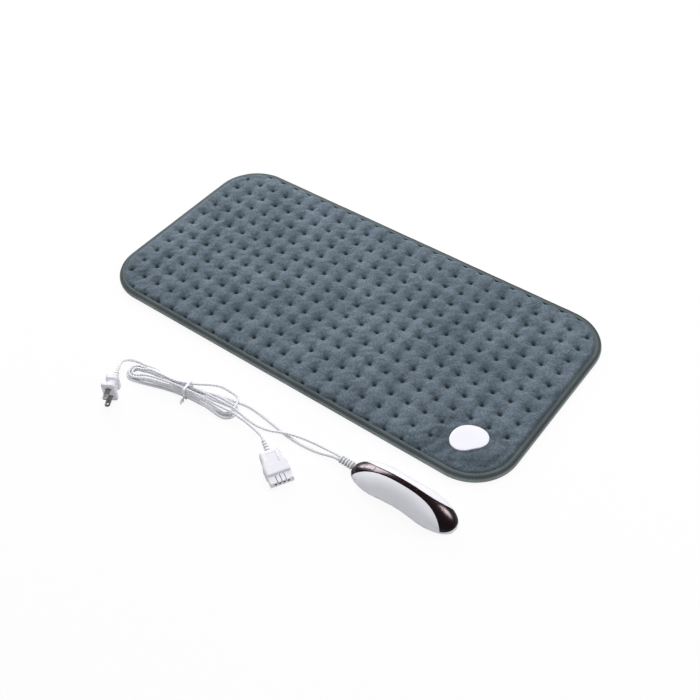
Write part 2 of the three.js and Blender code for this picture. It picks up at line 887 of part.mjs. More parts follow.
function heatKeyOutline(margin) {
  const half = heatKeyWidth / 2 + margin;
  const outline = roundedRectangle(heatKeyLength / 2 + margin, half, half * roundLimit, keyFacets);
  return outline.map((p) => p.add(new THREE.Vector2(heatKeyAt, 0)));
}

function powerKeyOutline(margin) {
  const half = powerKeyDiameter / 2 + margin;
  const outline = roundedRectangle(half, half, half * roundLimit, keyFacets);
  return outline.map((p) => p.add(new THREE.Vector2(powerKeyAt, 0)));
}

function pipeAt(index) {
  return pipeCentre + (index - (pipeCount - 1) / 2) * pipePitch;
}

const boardMiddle = controllerLength / 2;
const skyHeight = crownAt(boardMiddle) + overcut;
const plungerTop = boardTop + seatGap + switchHeight + plungerProud;
const outerBody = controllerBody(0);
const innerBody = controllerBody(shellWall);

function reliefHole() {
  const hole = rodX(2 * reliefNeck, -overcut, reliefNeckLength + controllerAhead, 0, 0, reliefSides);
  const grow = 1 + seatGap / reliefNeck;
  return toSolid(hole.scale(1, reliefWide * grow, reliefFlat * grow).translate(0, 0, reliefHeight));
}

function controllerBase() {
  const shell = subtract(outerBody, innerBody, bandPrism(seatGap / 2, rimHeight));
  const tools = [reliefHole()];
  const posts = [];
  for (const side of [-1, 1]) {
    const postX = boardMiddle + side * postSpread;
    posts.push(toSolid(rod(postDiameter, shellWall, boardFloor - seatGap, postX, 0)));
    const x = boardMiddle + side * coverBossSpread;
    tools.push(toSolid(rod(screwHole, -overcut, coverBossFloor, x, 0)));
    tools.push(toSolid(rod(headHole, -overcut, screwSeat + screwHeadHeight, x, 0)));
  }
  const ground = block(2 * controllerLength, 4 * controllerHalfWidth, 2 * overcut, boardMiddle, 0, -overcut);
  return subtract(join(shell, ...posts), ...tools, toSolid(ground));
}

const bossShare = (2 * coverBossSpread) / controllerLength;
const screwSeat = undersideAt(bossShare) + seatGap;
const coverBossFloor = undersideAt(bossShare) + shellWall + seatGap * 2;

function controllerCover() {
  const band = bandPrism(-seatGap / 2, rimHeight + seatGap);
  const shell = subtract(outerBody, innerBody).intersect(band);
  const bosses = [];
  const tools = [reliefHole()];
  for (const side of [-1, 1]) {
    const x = boardMiddle + side * coverBossSpread;
    bosses.push(toSolid(rod(coverBoss, coverBossFloor, crownAt(x) - shellWall / 2, x, 0)));
    tools.push(toSolid(rod(screwHole, 0, coverBossFloor + screwLength, x, 0)));
  }
  for (let index = 0; index < pipeCount; index += 1) {
    tools.push(toSolid(rod(pipeDiameter + 2 * seatGap, boardTop, skyHeight, pipeAt(index), 0, thinSides)));
  }
  tools.push(toSolid(prism(heatKeyOutline(seatGap), boardTop, skyHeight)));
  tools.push(toSolid(prism(powerKeyOutline(seatGap), boardTop, skyHeight)));
  return subtract(join(shell, ...bosses), ...tools);
}

function key(outline, along) {
  const cap = toSolid(prism(outline(0), boardTop, skyHeight));
  const skirt = toSolid(prism(outline(flangeWidth), boardTop, skyHeight));
  const flangeInset = shellWall + flangeGap;
  const face = controllerBody(-keyProud).intersect(cap).subtract(controllerBody(keyDepth));
  const flange = controllerBody(flangeInset).intersect(skirt);
  const ring = flange.subtract(controllerBody(flangeInset + flangeThickness));
  const stem = toSolid(rod(stemDiameter, plungerTop + seatGap, crownAt(along) - keyDepth / 2, along, 0));
  return join(face, ring, stem);
}

function keySwitch(along) {
  const floor = boardTop + seatGap;
  const body = block(switchSide, switchSide, switchHeight, along, 0, floor + switchHeight / 2);
  const wellFloor = floor + switchHeight - plungerDepth - keyTravel - seatGap;
  const wellTop = floor + switchHeight + overcut;
  const well = rod(plungerDiameter + 2 * seatGap, wellFloor, wellTop, along, 0, thinSides);
  return subtract(toSolid(body), toSolid(well));
}

function keyPlunger(along) {
  return rod(plungerDiameter, plungerTop - plungerProud - plungerDepth, plungerTop, along, 0, thinSides);
}

function lightPipe(index) {
  const along = pipeAt(index);
  return rod(pipeDiameter, boardTop + seatGap, crownAt(along) + pipeProud, along, 0, thinSides);
}

function circuitBoard() {
  const outline = roundedRectangle(boardLength / 2, boardWidth / 2, boardWidth / 2 - seatGap, keyFacets);
  const board = prism(outline, boardFloor, boardTop).translate(boardMiddle, 0, 0);
  const holes = [-1, 1].map((side) => {
    const hole = coverBoss + 2 * seatGap;
    const x = boardMiddle + side * coverBossSpread;
    return toSolid(rod(hole, boardFloor - overcut, boardTop + overcut, x, 0));
  });
  return subtract(toSolid(board), ...holes);
}

function boxedPart(length, width, height, along, across) {
  const outline = roundedRectangle(length / 2, width / 2, partRound, 2);
  return prism(outline, boardTop + seatGap, boardTop + seatGap + height).translate(along, across, 0);
}

function fuse() {
  const height = boardTop + seatGap + fuseDiameter / 2;
  const from = pipeCentre + pipePitch / 2;
  return rodX(fuseDiameter, from, from + fuseLength, -partOffset, height);
}

// Ribbed sleeve where both cords leave the controller
function strainRelief() {
  const profile = [
    new THREE.Vector2(0, -reliefLength),
    new THREE.Vector2(reliefRadius - reliefGroove, -reliefLength),
  ];
  for (let rib = 0; rib < reliefRibs; rib += 1) {
    const start = -reliefLength + reliefGroove + rib * reliefRibPitch;
    const half = reliefRibPitch / 2;
    profile.push(new THREE.Vector2(reliefRadius, start));
    profile.push(new THREE.Vector2(reliefRadius, start + half));
    profile.push(new THREE.Vector2(reliefRadius - reliefGroove, start + half + reliefBevel));
    profile.push(new THREE.Vector2(reliefRadius - reliefGroove, start + reliefRibPitch - reliefBevel));
  }
  profile.push(new THREE.Vector2(reliefNeck, -seatGap));
  profile.push(new THREE.Vector2(reliefNeck, reliefNeckLength));
  profile.push(new THREE.Vector2(reliefCollar, reliefNeckLength));
  profile.push(new THREE.Vector2(reliefCollar, reliefNeckLength + reliefCollarLength));
  profile.push(new THREE.Vector2(0, reliefNeckLength + reliefCollarLength));
  const sleeve = new THREE.LatheGeometry(profile, reliefSides).rotateZ(-Math.PI / 2);
  return sleeve.scale(1, reliefWide, reliefFlat).translate(0, 0, reliefHeight);
}

// Hank: both cords fold back and forth between two ends, drawn in at the waist
const mainsLayer = hankLift + mainsDiameter / 2;
const leadLayer = hankLift + 2 * (mainsDiameter + layerGap) + leadDiameter / 2;
const mainsRest = cordRise + mainsDiameter / 2;
const leadRest = mainsRest + (mainsDiameter + leadDiameter) / 2 + layerGap;
const bightDrop = leadRest - leadDiameter / 2 - cordRise;

const mainsLoops = {
  start: 0,
  end: mainsTurns,
  fold: mainsFold,
  waist: mainsWaist,
  step: mainsStep,
  draw: mainsDraw,
  turnBack: mainsTurnBack,
  rest: mainsRest,
  floor: mainsLayer,
  layer: mainsDiameter + layerGap,
  climb: [1, 1 + runSteps / loopSteps],
  bight: 0,
};

const leadLoops = {
  start: leadStart,
  end: leadEnd,
  fold: leadFold,
  waist: leadWaist,
  step: leadStep,
  draw: leadDraw,
  turnBack: leadTurnBack,
  rest: leadRest,
  floor: leadLayer,
  layer: leadDiameter + layerGap + seatGap,
  climb: [bightStart, bightEnd - (bightEnd - bightStart) / 4],
  bight: 1,
};

const leadTop = leadLayer + leadLoops.layer;

function hankPoint(loops, turn) {
  const phase = (turn % 1) * loopSteps;
  const half = loopSteps / 2;
  const side = phase < half ? 1 : -1;
  const place = phase % half;
  const run = 2 * Math.floor(turn) + (side < 0 ? 1 : 0);
  const inward = (count) => Math.min(count, 2 * loops.turnBack - count);
  const level = THREE.MathUtils.lerp(inward(run), inward(run + 1), Math.min(place / runSteps, 1));
  const fold = loops.fold - loops.step * level;
  const waist = loops.waist - loops.draw * level;
  let x;
  let y;
  let spread = 1;
  if (place < runSteps) {
    x = side * foldAt * (1 - (2 * place) / runSteps);
    spread = Math.sin((Math.PI / 2) * (x / foldAt)) ** 2;
    y = side * (waist + (fold - waist) * spread);
  } else {
    const angle = (Math.PI * (place - runSteps)) / (half - runSteps);
    x = -side * (foldAt + fold * Math.sin(angle));
    y = side * fold * Math.cos(angle);
  }
  const climbed = THREE.MathUtils.smoothstep(turn, ...loops.climb);
  const loose = THREE.MathUtils.clamp((turn - bightStart) / (bightEnd - bightStart), 0, 1);
  const bulge = loops.bight * Math.sin(Math.PI * loose) ** 2;
  const piled = loops.floor + loops.layer * climbed;
  const settled = THREE.MathUtils.lerp(piled, loops.rest, spread ** settlePower);
  return new THREE.Vector3(x, y + bightOut * bulge, settled - bightDrop * bulge ** bightSag);
}

function hankPoints(loops, steps) {
  const count = Math.round((loops.end - loops.start) * steps);
  const points = [];
  for (let k = 0; k <= count; k += 1) {
    points.push(hankPoint(loops, loops.start + ((loops.end - loops.start) * k) / count));
  }
  return points;
}

// End a hank's tube straight and level for one diameter
function squareEnds(points, diameter) {
  const last = points.length - 1;
  const tip = (at, from) => at.clone().add(at.clone().sub(from).setZ(0).setLength(diameter));
  return [tip(points[0], points[1]), ...points, tip(points[last], points[last - 1])];
}

// Least gap between strands that aren't neighbours along the cord
function leastGap(points, diameter, others = null, otherDiameter = diameter) {
  let least = Infinity;
  const neighbours = Math.ceil(points.length / thinSides);
  points.forEach((p, i) => {
    (others ?? points).forEach((q, j) => {
      if (others || Math.abs(i - j) > neighbours) {
        least = Math.min(least, p.distanceTo(q) - (diameter + otherDiameter) / 2);
      }
    });
  });
  return least;
}

function hankTube(loops, diameter) {
  const points = squareEnds(hankPoints(loops, loopSteps), diameter);
  return tube(new StepCurve(points), points.length - 1, diameter, loopSides);
}

// Tie: a flat loop round the waist with a twisted tail
function cordTie() {
  const runStart = 0.5 * (1 - tieAt / foldAt) * (runSteps / loopSteps);
  const farSide = hankPoint(mainsLoops, runStart).y + mainsDiameter / 2 + seatGap;
  const nearTurn = 1.5 + runSteps / loopSteps - runStart;
  const nearSide = hankPoint(mainsLoops, nearTurn).y - mainsDiameter / 2 - seatGap;
  const top = leadTop + leadDiameter / 2 + seatGap;
  const halfY = (farSide - nearSide) / 2;
  const halfZ = (top - tieThickness) / 2;
  const round = leadDiameter / 2;
  const band = (grow) => [halfY + grow, halfZ + grow, round + grow];
  const ring = new THREE.Shape(roundedRectangle(...band(tieThickness), cornerFacets));
  ring.holes.push(new THREE.Path(roundedRectangle(...band(0), cornerFacets)));
  const loop = new THREE.ExtrudeGeometry(ring, { depth: tieWidth, bevelEnabled: false });
  loop.rotateX(Math.PI / 2).rotateZ(Math.PI / 2);
  loop.translate(tieAt - tieWidth / 2, (farSide + nearSide) / 2, halfZ + tieThickness);
  const rings = [];
  for (let step = 0; step <= tieTailSteps; step += 1) {
    const share = step / tieTailSteps;
    const angle = share * tieTailTurns * 2 * Math.PI;
    const y = nearSide - tieThickness / 2 - share * tieTail;
    const z = tieTailHeight - share * (tieTailHeight - tieTailWidth / 2);
    const corners = roundedRectangle(tieTailWidth / 2, tieThickness, tieThickness / 4, 1);
    rings.push(corners.map((p) => {
      const turned = p.rotateAround(new THREE.Vector2(), angle);
      return new THREE.Vector3(tieAt + turned.x, y, z + turned.y);
    }));
  }
  return join(toSolid(loop), toSolid(loft(rings)));
}

// Cord routes, from the controller's cord end
const reliefFace = -reliefLength - seatGap;
const mainsAcross = -(leadDiameter + seatGap) / 2 - seatGap;
const leadAcross = (mainsDiameter + seatGap) / 2;

function hankPlace(point) {
  const spun = point.clone().applyAxisAngle(new THREE.Vector3(0, 0, 1), radians(hankTurn));
  return spun.add(new THREE.Vector3(hankX, hankY, 0));
}

// Two points straight out of a hank's end, the nearer one first
function hankEnd(loops, diameter, first) {
  const points = hankPoints(loops, loopSteps);
  return [1, 2].map((count) => {
    const ends = squareEnds(points, count * diameter + seatGap);
    return hankPlace(first ? ends[0] : ends[ends.length - 1]);
  });
}

// Two points of a cord that runs straight into a moulded relief, the nearer one last
function reliefEnd(x, y, z, turn, diameter) {
  const back = new THREE.Vector3(-Math.cos(radians(turn)), -Math.sin(radians(turn)), 0);
  const end = new THREE.Vector3(x, y, z);
  return [end.clone().addScaledVector(back, 2 * diameter), end];
}

function mainsRun() {
  const floor = mainsDiameter / 2 + cordRise;
  return [
    new THREE.Vector3(reliefFace, mainsAcross, reliefHeight),
    new THREE.Vector3(-27, -2.1, 6.2),
    new THREE.Vector3(-36, -3.4, 4.6),
    new THREE.Vector3(-47, -5.4, 2.6),
    new THREE.Vector3(-58, -7, floor),
    new THREE.Vector3(-72, -8.2, floor),
    new THREE.Vector3(-86, -8, floor),
    new THREE.Vector3(-100, -6.8, floor),
    new THREE.Vector3(-116, -4.4, floor),
    new THREE.Vector3(-132, -2.2, floor),
    new THREE.Vector3(-146, -0.8, floor),
    new THREE.Vector3(-158, -0.5, floor),
    ...hankEnd(mainsLoops, mainsDiameter, true).reverse(),
  ];
}

function leadRun() {
  const floor = leadDiameter / 2 + cordRise;
  return [
    new THREE.Vector3(reliefFace, leadAcross, reliefHeight),
    new THREE.Vector3(-27, 2.2, 6.2),
    new THREE.Vector3(-36, 2.6, 4.8),
    new THREE.Vector3(-48, 2.4, 3.4),
    new THREE.Vector3(-60, 1.2, 3.6),
    new THREE.Vector3(-72, -1.4, 5),
    new THREE.Vector3(-84, -4.8, 6.2),
    new THREE.Vector3(-94, -8, 6.2),
    new THREE.Vector3(-104, -11, 4.4),
    new THREE.Vector3(-114, -13.6, 2.4),
    new THREE.Vector3(-124, -15.7, floor),
    new THREE.Vector3(-134, -17.2, 2.6),
    new THREE.Vector3(-144, -18.2, 5.6),
    new THREE.Vector3(-154, -18.4, 9),
    hankPlace(new THREE.Vector3(76, 1, 10.6)),
    hankPlace(new THREE.Vector3(62, 2.1, 11.2)),
    hankPlace(new THREE.Vector3(46, 3.4, 12)),
    hankPlace(new THREE.Vector3(32, 4.6, 11.8)),
    hankPlace(new THREE.Vector3(18, 5.3, leadLayer)),
    ...hankEnd(leadLoops, leadDiameter, true).reverse(),
  ];
}

function leadTail() {
  return [
    ...hankEnd(leadLoops, leadDiameter, false),
    hankPlace(new THREE.Vector3(24, -3.4, leadTop)),
    hankPlace(new THREE.Vector3(42, -4.3, 13.8)),
    hankPlace(new THREE.Vector3(60, -4.6, 11.4)),
    hankPlace(new THREE.Vector3(76, -4.8, 10)),
    new THREE.Vector3(-152, -23.1, 8.8),
    new THREE.Vector3(-143, -23.1, 7.8),
    new THREE.Vector3(-134, -24, 7),
    new THREE.Vector3(-125, -25.4, 6.5),
    ...reliefEnd(connectorX, connectorY, connectorZ, connectorTurn, leadDiameter),
  ];
}

function mainsTail() {
  const plugZ = plugFaceHeight / 2;
  return [
    ...hankEnd(mainsLoops, mainsDiameter, false),
    new THREE.Vector3(-322.2, -28.6, 4.4),
    new THREE.Vector3(-326.4, -34.8, 8.4),
    new THREE.Vector3(-326.8, -42.8, 12.4),
    ...reliefEnd(plugX, plugY, plugZ, plugTurn, mainsDiameter),
  ];
}

// Moulded relief along +X from a cord's end: tapered, with grooves
function mouldedRelief(length, cordDiameter, endDiameter, grooves) {
  const tip = cordDiameter / 2 + reliefTipOver / 2;
  const radiusAt = (share) => tip + (endDiameter / 2 - tip) * share;
  const profile = [new THREE.Vector2(0, seatGap), new THREE.Vector2(tip, seatGap)];
  for (let groove = 0; groove < grooves; groove += 1) {
    const from = (groove + grooveStart) / (grooves + grooveEnd);
    const to = (groove + 1) / (grooves + grooveEnd);
    const depth = radiusAt(from) * grooveDepth;
    profile.push(new THREE.Vector2(radiusAt(from), from * length));
    profile.push(new THREE.Vector2(radiusAt(from) - depth, from * length + grooveBevel));
    profile.push(new THREE.Vector2(radiusAt(to) - depth, to * length - grooveBevel));
    profile.push(new THREE.Vector2(radiusAt(to), to * length));
  }
  profile.push(new THREE.Vector2(endDiameter / 2, length - seatGap));
  profile.push(new THREE.Vector2(0, length - seatGap));
  return new THREE.LatheGeometry(profile, reliefSides).rotateZ(-Math.PI / 2);
}

function connectorBody() {
  const start = connectorRelief;
  const shoulder = start + connectorShoulder;
  const neckWidth = connectorNeckWidth - 2 * connectorBevel;
  const end = start + connectorLength;
  const rings = [
    sectionX(start, neckWidth, connectorHeight - 2 * connectorBevel, connectorRound),
    sectionX(start + connectorBevel, connectorNeckWidth, connectorHeight - connectorBevel, connectorRound),
    sectionX(start + connectorBack, connectorNeckWidth + connectorBevel, connectorHeight, connectorRound),
    sectionX(shoulder, connectorWidth, connectorHeight, connectorRound),
    sectionX(end - connectorBevel, connectorWidth, connectorHeight, connectorRound),
    sectionX(end, connectorWidth - connectorBevel, connectorHeight - connectorBevel, connectorRound),
  ];
  const nose = loft([
    sectionX(end - connectorBevel, noseWidth, noseHeight, noseRound),
    sectionX(end + noseLength, noseWidth, noseHeight, noseRound),
  ]);
  const panelX = start + panelStart + panelLength / 2;
  const tools = [block(panelLength, panelWidth, 2 * panelDepth, panelX, 0, connectorHeight / 2)];
  const front = end + noseLength;
  for (let slit = 1; slit < chamberCount; slit += 1) {
    const y = (slit - chamberCount / 2) * chamberPitch;
    tools.push(block(slitDepth * 2, slitWidth, connectorHeight, front, y, 0));
  }
  for (let chamber = 0; chamber < chamberCount; chamber += 1) {
    const bore = contactDiameter + 2 * seatGap;
    tools.push(rodX(bore, front - contactLength - 2 * seatGap, front + overcut, pinY(chamber), 0));
  }
  return subtract(join(toSolid(loft(rings)), toSolid(nose)), ...tools.map(toSolid));
}

function connectorContact(chamber) {
  const front = connectorRelief + connectorLength + noseLength - seatGap;
  const back = front - contactLength;
  const lip = [contactBore / 2, contactDiameter / 2];
  const profile = [
    new THREE.Vector2(lip[0], back),
    new THREE.Vector2(lip[1], back),
    new THREE.Vector2(lip[1], front),
    new THREE.Vector2(lip[0], front),
    new THREE.Vector2(lip[0], back),
  ];
  return new THREE.LatheGeometry(profile, cordSides).rotateZ(-Math.PI / 2).translate(0, pinY(chamber), 0);
}

function plugBody() {
  const start = plugRelief;
  const end = start + plugLength;
  const rings = [
    sectionX(start, plugBackThickness, plugBackHeight, plugRound),
    sectionX(start + plugGripStart, plugGripThickness, plugGripHeight, plugRound),
    sectionX(start + plugGripEnd, plugGripThickness, plugGripHeight, plugRound),
    sectionX(start + plugGripEnd + plugBevel, plugWaistThickness, plugWaistHeight, plugRound),
    sectionX(end - plugFlange - plugBevel, plugWaistThickness, plugWaistHeight, plugRound),
    sectionX(end - plugFlange, plugFaceThickness, plugFaceHeight, plugRound),
    sectionX(end - plugBevel, plugFaceThickness, plugFaceHeight, plugRound),
    sectionX(end, plugFaceThickness - plugBevel, plugFaceHeight - plugBevel, plugRound),
  ];
  const slots = [-1, 1].map((side) => {
    const depth = bladeRoot + seatGap + overcut;
    const width = bladeWidth + 2 * seatGap;
    const height = bladeThickness + 2 * seatGap;
    return toSolid(block(depth, width, height, end + overcut - depth / 2, 0, (side * bladeSpacing) / 2));
  });
  return subtract(toSolid(loft(rings)), ...slots);
}

function plugBlade(side) {
  const end = plugRelief + plugLength;
  const half = bladeWidth / 2;
  const tip = end + bladeLength;
  const outline = new THREE.Shape([
    new THREE.Vector2(end - bladeRoot, -half),
    new THREE.Vector2(tip - bladeChamfer, -half),
    new THREE.Vector2(tip, -half + bladeChamfer),
    new THREE.Vector2(tip, half - bladeChamfer),
    new THREE.Vector2(tip - bladeChamfer, half),
    new THREE.Vector2(end - bladeRoot, half),
  ]);
  const hole = new THREE.Path();
  hole.absarc(tip - bladeHoleFromTip, 0, bladeHole / 2, 0, 2 * Math.PI, true);
  outline.holes.push(hole);
  const blade = new THREE.ExtrudeGeometry(outline, {
    depth: bladeThickness,
    bevelEnabled: false,
    curveSegments: thinSides,
  });
  return blade.translate(0, 0, (side * bladeSpacing) / 2 - bladeThickness / 2);
}

// Assembly
const heatingPad = new THREE.Group();

const pad = new THREE.Group();
heatingPad.add(pad);
addPart(pad, 'bottom_cover', bottomCover(), plush());
addPart(pad, 'felt_carrier', feltCarrier(), felt());
addPart(pad, 'heating_wire', heatingWire(), finish(0xb8483a, 0.6));
addPart(pad, 'thermal_cutout', thermalCutout(), finish(0x2d2d30, 0.5));
addPart(pad, 'top_cover', topCover(), plush());
addPart(pad, 'edge_binding', edgeBinding(), tape());
addPart(pad, 'socket_base', socketBase(), whitePlastic());
addPart(pad, 'socket_plate', socketPlate(), whitePlastic());
for (let pin = 0; pin < chamberCount; pin += 1) {
  addPart(pad, `socket_pin_${pin + 1}`, socketPin(pin), brass());
}
[-1, 1].forEach((side, index) => {
  const screwBody = atSocket(screw(0, side * bossSpread, socketFloor + seatGap));
  addPart(pad, `socket_screw_${index + 1}`, screwBody, steel());
});

const controllerSet = new THREE.Group();
controllerSet.position.set(setX, -padWidth / 2 - setGap, 0);
heatingPad.add(controllerSet);
const controller = new THREE.Group();
controller.position.set(-controllerAhead, 0, 0);
controllerSet.add(controller);
addPart(controller, 'controller_base', controllerBase(), whitePlastic());
addPart(controller, 'controller_cover', controllerCover(), darkGloss());
addPart(controller, 'heat_key', key(heatKeyOutline, heatKeyAt), darkGloss());
addPart(controller, 'power_key', key(powerKeyOutline, powerKeyAt), darkGloss());
addPart(controller, 'heat_switch', keySwitch(heatKeyAt), finish(0x3a3a3d, 0.5));
addPart(controller, 'power_switch', keySwitch(powerKeyAt), finish(0x3a3a3d, 0.5));
addPart(controller, 'heat_plunger', keyPlunger(heatKeyAt), finish(0x1c1c1e, 0.5));
addPart(controller, 'power_plunger', keyPlunger(powerKeyAt), finish(0x1c1c1e, 0.5));
addPart(controller, 'circuit_board', circuitBoard(), finish(0x2f6b3c, 0.5));
for (let index = 0; index < pipeCount; index += 1) {
  addPart(controller, `light_pipe_${index + 1}`, lightPipe(index), finish(0xeef2f5, 0.15));
}
const capacitorAt = pipeCentre + pipePitch;
const triacAt = pipeCentre - pipePitch;
const chipAt = boardMiddle + (coverBossSpread + powerKeyAt - boardMiddle) / 2;
const capacitor = boxedPart(capacitorLength, capacitorWidth, capacitorHeight, capacitorAt, partOffset);
addPart(controller, 'film_capacitor', capacitor, finish(0xc9a227, 0.5));
const triac = boxedPart(triacWidth, triacThickness, triacHeight, triacAt, -partOffset);
addPart(controller, 'triac', triac, finish(0x1d1d20, 0.5));
addPart(controller, 'fuse', fuse(), finish(0xd8d5cc, 0.3));
const chip = boxedPart(chipLength, chipWidth, chipHeight, chipAt, 0);
addPart(controller, 'control_chip', chip, finish(0x1d1d20, 0.5));
[-1, 1].forEach((side, index) => {
  const coverScrew = screw(boardMiddle + side * coverBossSpread, 0, screwSeat);
  addPart(controller, `controller_screw_${index + 1}`, coverScrew, steel());
});
addPart(controllerSet, 'strain_relief', strainRelief(), cordPlastic());

addPart(controllerSet, 'mains_run', cord(mainsRun(), mainsDiameter), cordPlastic());
addPart(controllerSet, 'lead_run', cord(leadRun(), leadDiameter), cordPlastic());
addPart(controllerSet, 'lead_tail', cord(leadTail(), leadDiameter), cordPlastic());
addPart(controllerSet, 'mains_tail', cord(mainsTail(), mainsDiameter), cordPlastic());

const hank = new THREE.Group();
hank.position.set(hankX, hankY, 0);
hank.rotation.z = radians(hankTurn);
controllerSet.add(hank);
addPart(hank, 'mains_hank', hankTube(mainsLoops, mainsDiameter), cordPlastic());
addPart(hank, 'lead_hank', hankTube(leadLoops, leadDiameter), cordPlastic());
addPart(hank, 'cord_tie', cordTie(), finish(0xf4f4f5, 0.5));

const connector = new THREE.Group();
connector.position.set(connectorX, connectorY, connectorZ);
connector.rotation.z = radians(connectorTurn);
controllerSet.add(connector);
const connectorSleeve = mouldedRelief(connectorRelief, leadDiameter, connectorReliefEnd, connectorGrooves);
addPart(connector, 'connector_relief', connectorSleeve, cordPlastic());
addPart(connector, 'connector_body', connectorBody(), whitePlastic());
for (let chamber = 0; chamber < chamberCount; chamber += 1) {
  addPart(connector, `connector_contact_${chamber + 1}`, connectorContact(chamber), brass());
}

const plug = new THREE.Group();
plug.position.set(plugX, plugY, plugFaceHeight / 2);
plug.rotation.z = radians(plugTurn);
controllerSet.add(plug);
const plugSleeve = mouldedRelief(plugRelief, mainsDiameter, plugBackThickness, plugGrooves);
addPart(plug, 'plug_relief', plugSleeve, cordPlastic());
addPart(plug, 'plug_body', plugBody(), whitePlastic());
addPart(plug, 'plug_blade_lower', plugBlade(-1), nickel());
addPart(plug, 'plug_blade_upper', plugBlade(1), nickel());

// Clear space between the strands of the hank
const fineSteps = 4 * loopSteps;
const mainsStrand = hankPoints(mainsLoops, fineSteps);
const leadStrand = hankPoints(leadLoops, fineSteps);
console.log('least gap of mains_hank to itself', leastGap(mainsStrand, mainsDiameter).toFixed(2), 'mm');
console.log('least gap of lead_hank to itself', leastGap(leadStrand, leadDiameter).toFixed(2), 'mm');
console.log(
  'least gap between the two',
  leastGap(mainsStrand, mainsDiameter, leadStrand, leadDiameter).toFixed(2),
  'mm',
);

export default heatingPad;
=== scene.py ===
"""Heating pad with its hand controller: looks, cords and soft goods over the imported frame. Metres, +Z up."""

import math

import bmesh
import bpy
import numpy as np
from mathutils import Matrix, Vector, noise


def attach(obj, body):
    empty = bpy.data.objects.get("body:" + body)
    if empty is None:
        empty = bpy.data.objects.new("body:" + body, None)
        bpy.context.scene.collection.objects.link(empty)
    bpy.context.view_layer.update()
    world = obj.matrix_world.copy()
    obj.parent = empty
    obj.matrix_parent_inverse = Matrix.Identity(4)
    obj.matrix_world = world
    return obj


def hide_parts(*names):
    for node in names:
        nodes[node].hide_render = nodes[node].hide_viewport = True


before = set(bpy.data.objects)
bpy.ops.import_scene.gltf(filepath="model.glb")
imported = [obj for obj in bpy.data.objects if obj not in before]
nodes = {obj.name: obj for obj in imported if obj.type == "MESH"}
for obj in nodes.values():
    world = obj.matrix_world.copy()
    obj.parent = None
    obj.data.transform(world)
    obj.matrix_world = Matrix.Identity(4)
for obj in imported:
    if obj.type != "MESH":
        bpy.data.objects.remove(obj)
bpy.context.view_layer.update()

# Camera of the photograph, a square frame of 700 pixels a side
CAMERA_PLACE = Vector((0.578518, -0.721296, 0.918484))
CAMERA_RIGHT = Vector((0.798418, 0.601310, -0.030913))
CAMERA_AHEAD = Vector((-0.426573, 0.528675, -0.733852))
CAMERA_LENS = 51.45
SENSOR_WIDTH = 36.0

# Pad
PAD_LENGTH = 0.610
PAD_WIDTH = 0.305
PAD_CORNER = 0.060
TAPE_TOP = 0.0095
TAPE_FLOOR = 0.0005
COVER_FLOOR = 0.0069
LIP_TOP = 0.0074
SEWN_INSET = 0.0084
SEWN_HEIGHT = 0.0086
SHOULDER = 0.0065
TUFT_PITCH_X = 0.0242
TUFT_PITCH_Y = 0.0239
TUFT_COLUMNS = 24
TUFT_ROWS = 11
TUFT_HEIGHT = 0.0086
SEAM_HEIGHT = 0.0125
PUFF_HEIGHT = 0.0128
PIT_REACH = 0.0045
PIT_POWER = 1.5
ROLL_OUT = 0.0011
ROLL_REACH = 0.009
PATCH_HEIGHT = 0.0107
PATCH_START_X = 0.2096
PATCH_START_Y = -0.0789
CELLS_PER_TUFT = 8
UNDER_TOP = 0.0031

# Corner socket, +X of its own frame out of the mouth
SOCKET = Matrix.Translation((0.2436, -0.0989, 0)) @ Matrix.Rotation(math.radians(47 - 90), 4, "Z")
PLATE_RADIUS = 0.0202
PLATE_STRETCH = 0.0027
PLATE_CORNERS = 0.001
PLATE_CORNER_TURN = math.radians(-26)
PLATE_FLOOR = 0.0112
PLATE_TOP = 0.0130
PLATE_CROWN = 0.0002
WELL_LENGTH = 0.0371
WELL_WIDTH = 0.0326

# Controller set, and the controller's body from its cord end along +X
SET = Matrix.Translation((0.1605, -0.2040, 0))
CONTROLLER = SET @ Matrix.Translation((-0.0025, 0, 0))
CONTROLLER_LENGTH = 0.137
HALF_WIDTH = 0.0226
TAPER = 0.02
CORD_PLAN_POWER = 2.4
FAR_PLAN_POWER = 2.5
GRIP_DEPTH = 0.0042
GRIP_CENTRE = 0.02
GRIP_REACH = 0.62
CROWN_POWER = 2.4
UNDER_POWER = 3.2
EQUATOR_ENDS = 0.003
EQUATOR_ARCH = 0.0076
CROWN_ENDS = 0.0153
CROWN_ARCH = 0.0063
UNDER_ARCH = 0.0029
UNDER_REACH = 0.8
FLOOR_FLAT = 0.0009
BAND_WAIST = 0.0034
BAND_FLARE = 0.0182
BAND_POWER = 3.9
BAND_LEAN = 0.37
RIM_HEIGHT = 0.0060
SHELL_WALL = 0.0018
SEAM = 0.00014
EDGE_DIP = 0.0005
EDGE_ROUND = 0.0014
HEAT_KEY_AT = 0.0235
HEAT_KEY_SIZE = (0.0150, 0.0064)
POWER_KEY_AT = 0.1140
POWER_KEY_SIZE = (0.0105, 0.0105)
KEY_PROUD = 0.00015
KEY_GAP = 0.00012
STEM_GAP = 0.0003
KEY_DEPTH = 0.003
PLUNGER_TOP = 0.0161
PIPE_AT = (0.061, 0.069, 0.077, 0.085)
PIPE_HOLE = 0.0028

# Strain relief of the controller, both cords leave its end
RELIEF_LENGTH = 0.0205
RELIEF_AXIS = 0.0065
RELIEF_RADIUS = 0.0046
RELIEF_GROOVE = 0.0011
RELIEF_RIBS = 5
RELIEF_PITCH = 0.0037
RELIEF_WIDE = 1.15
RELIEF_FLAT = 0.85

# Cords
MAINS_DIAMETER = 0.0038
LEAD_DIAMETER = 0.0032
LEAD_LAY = 0.0088
MAINS_FLOOR = 0.00205
LEAD_FLOOR = 0.00175

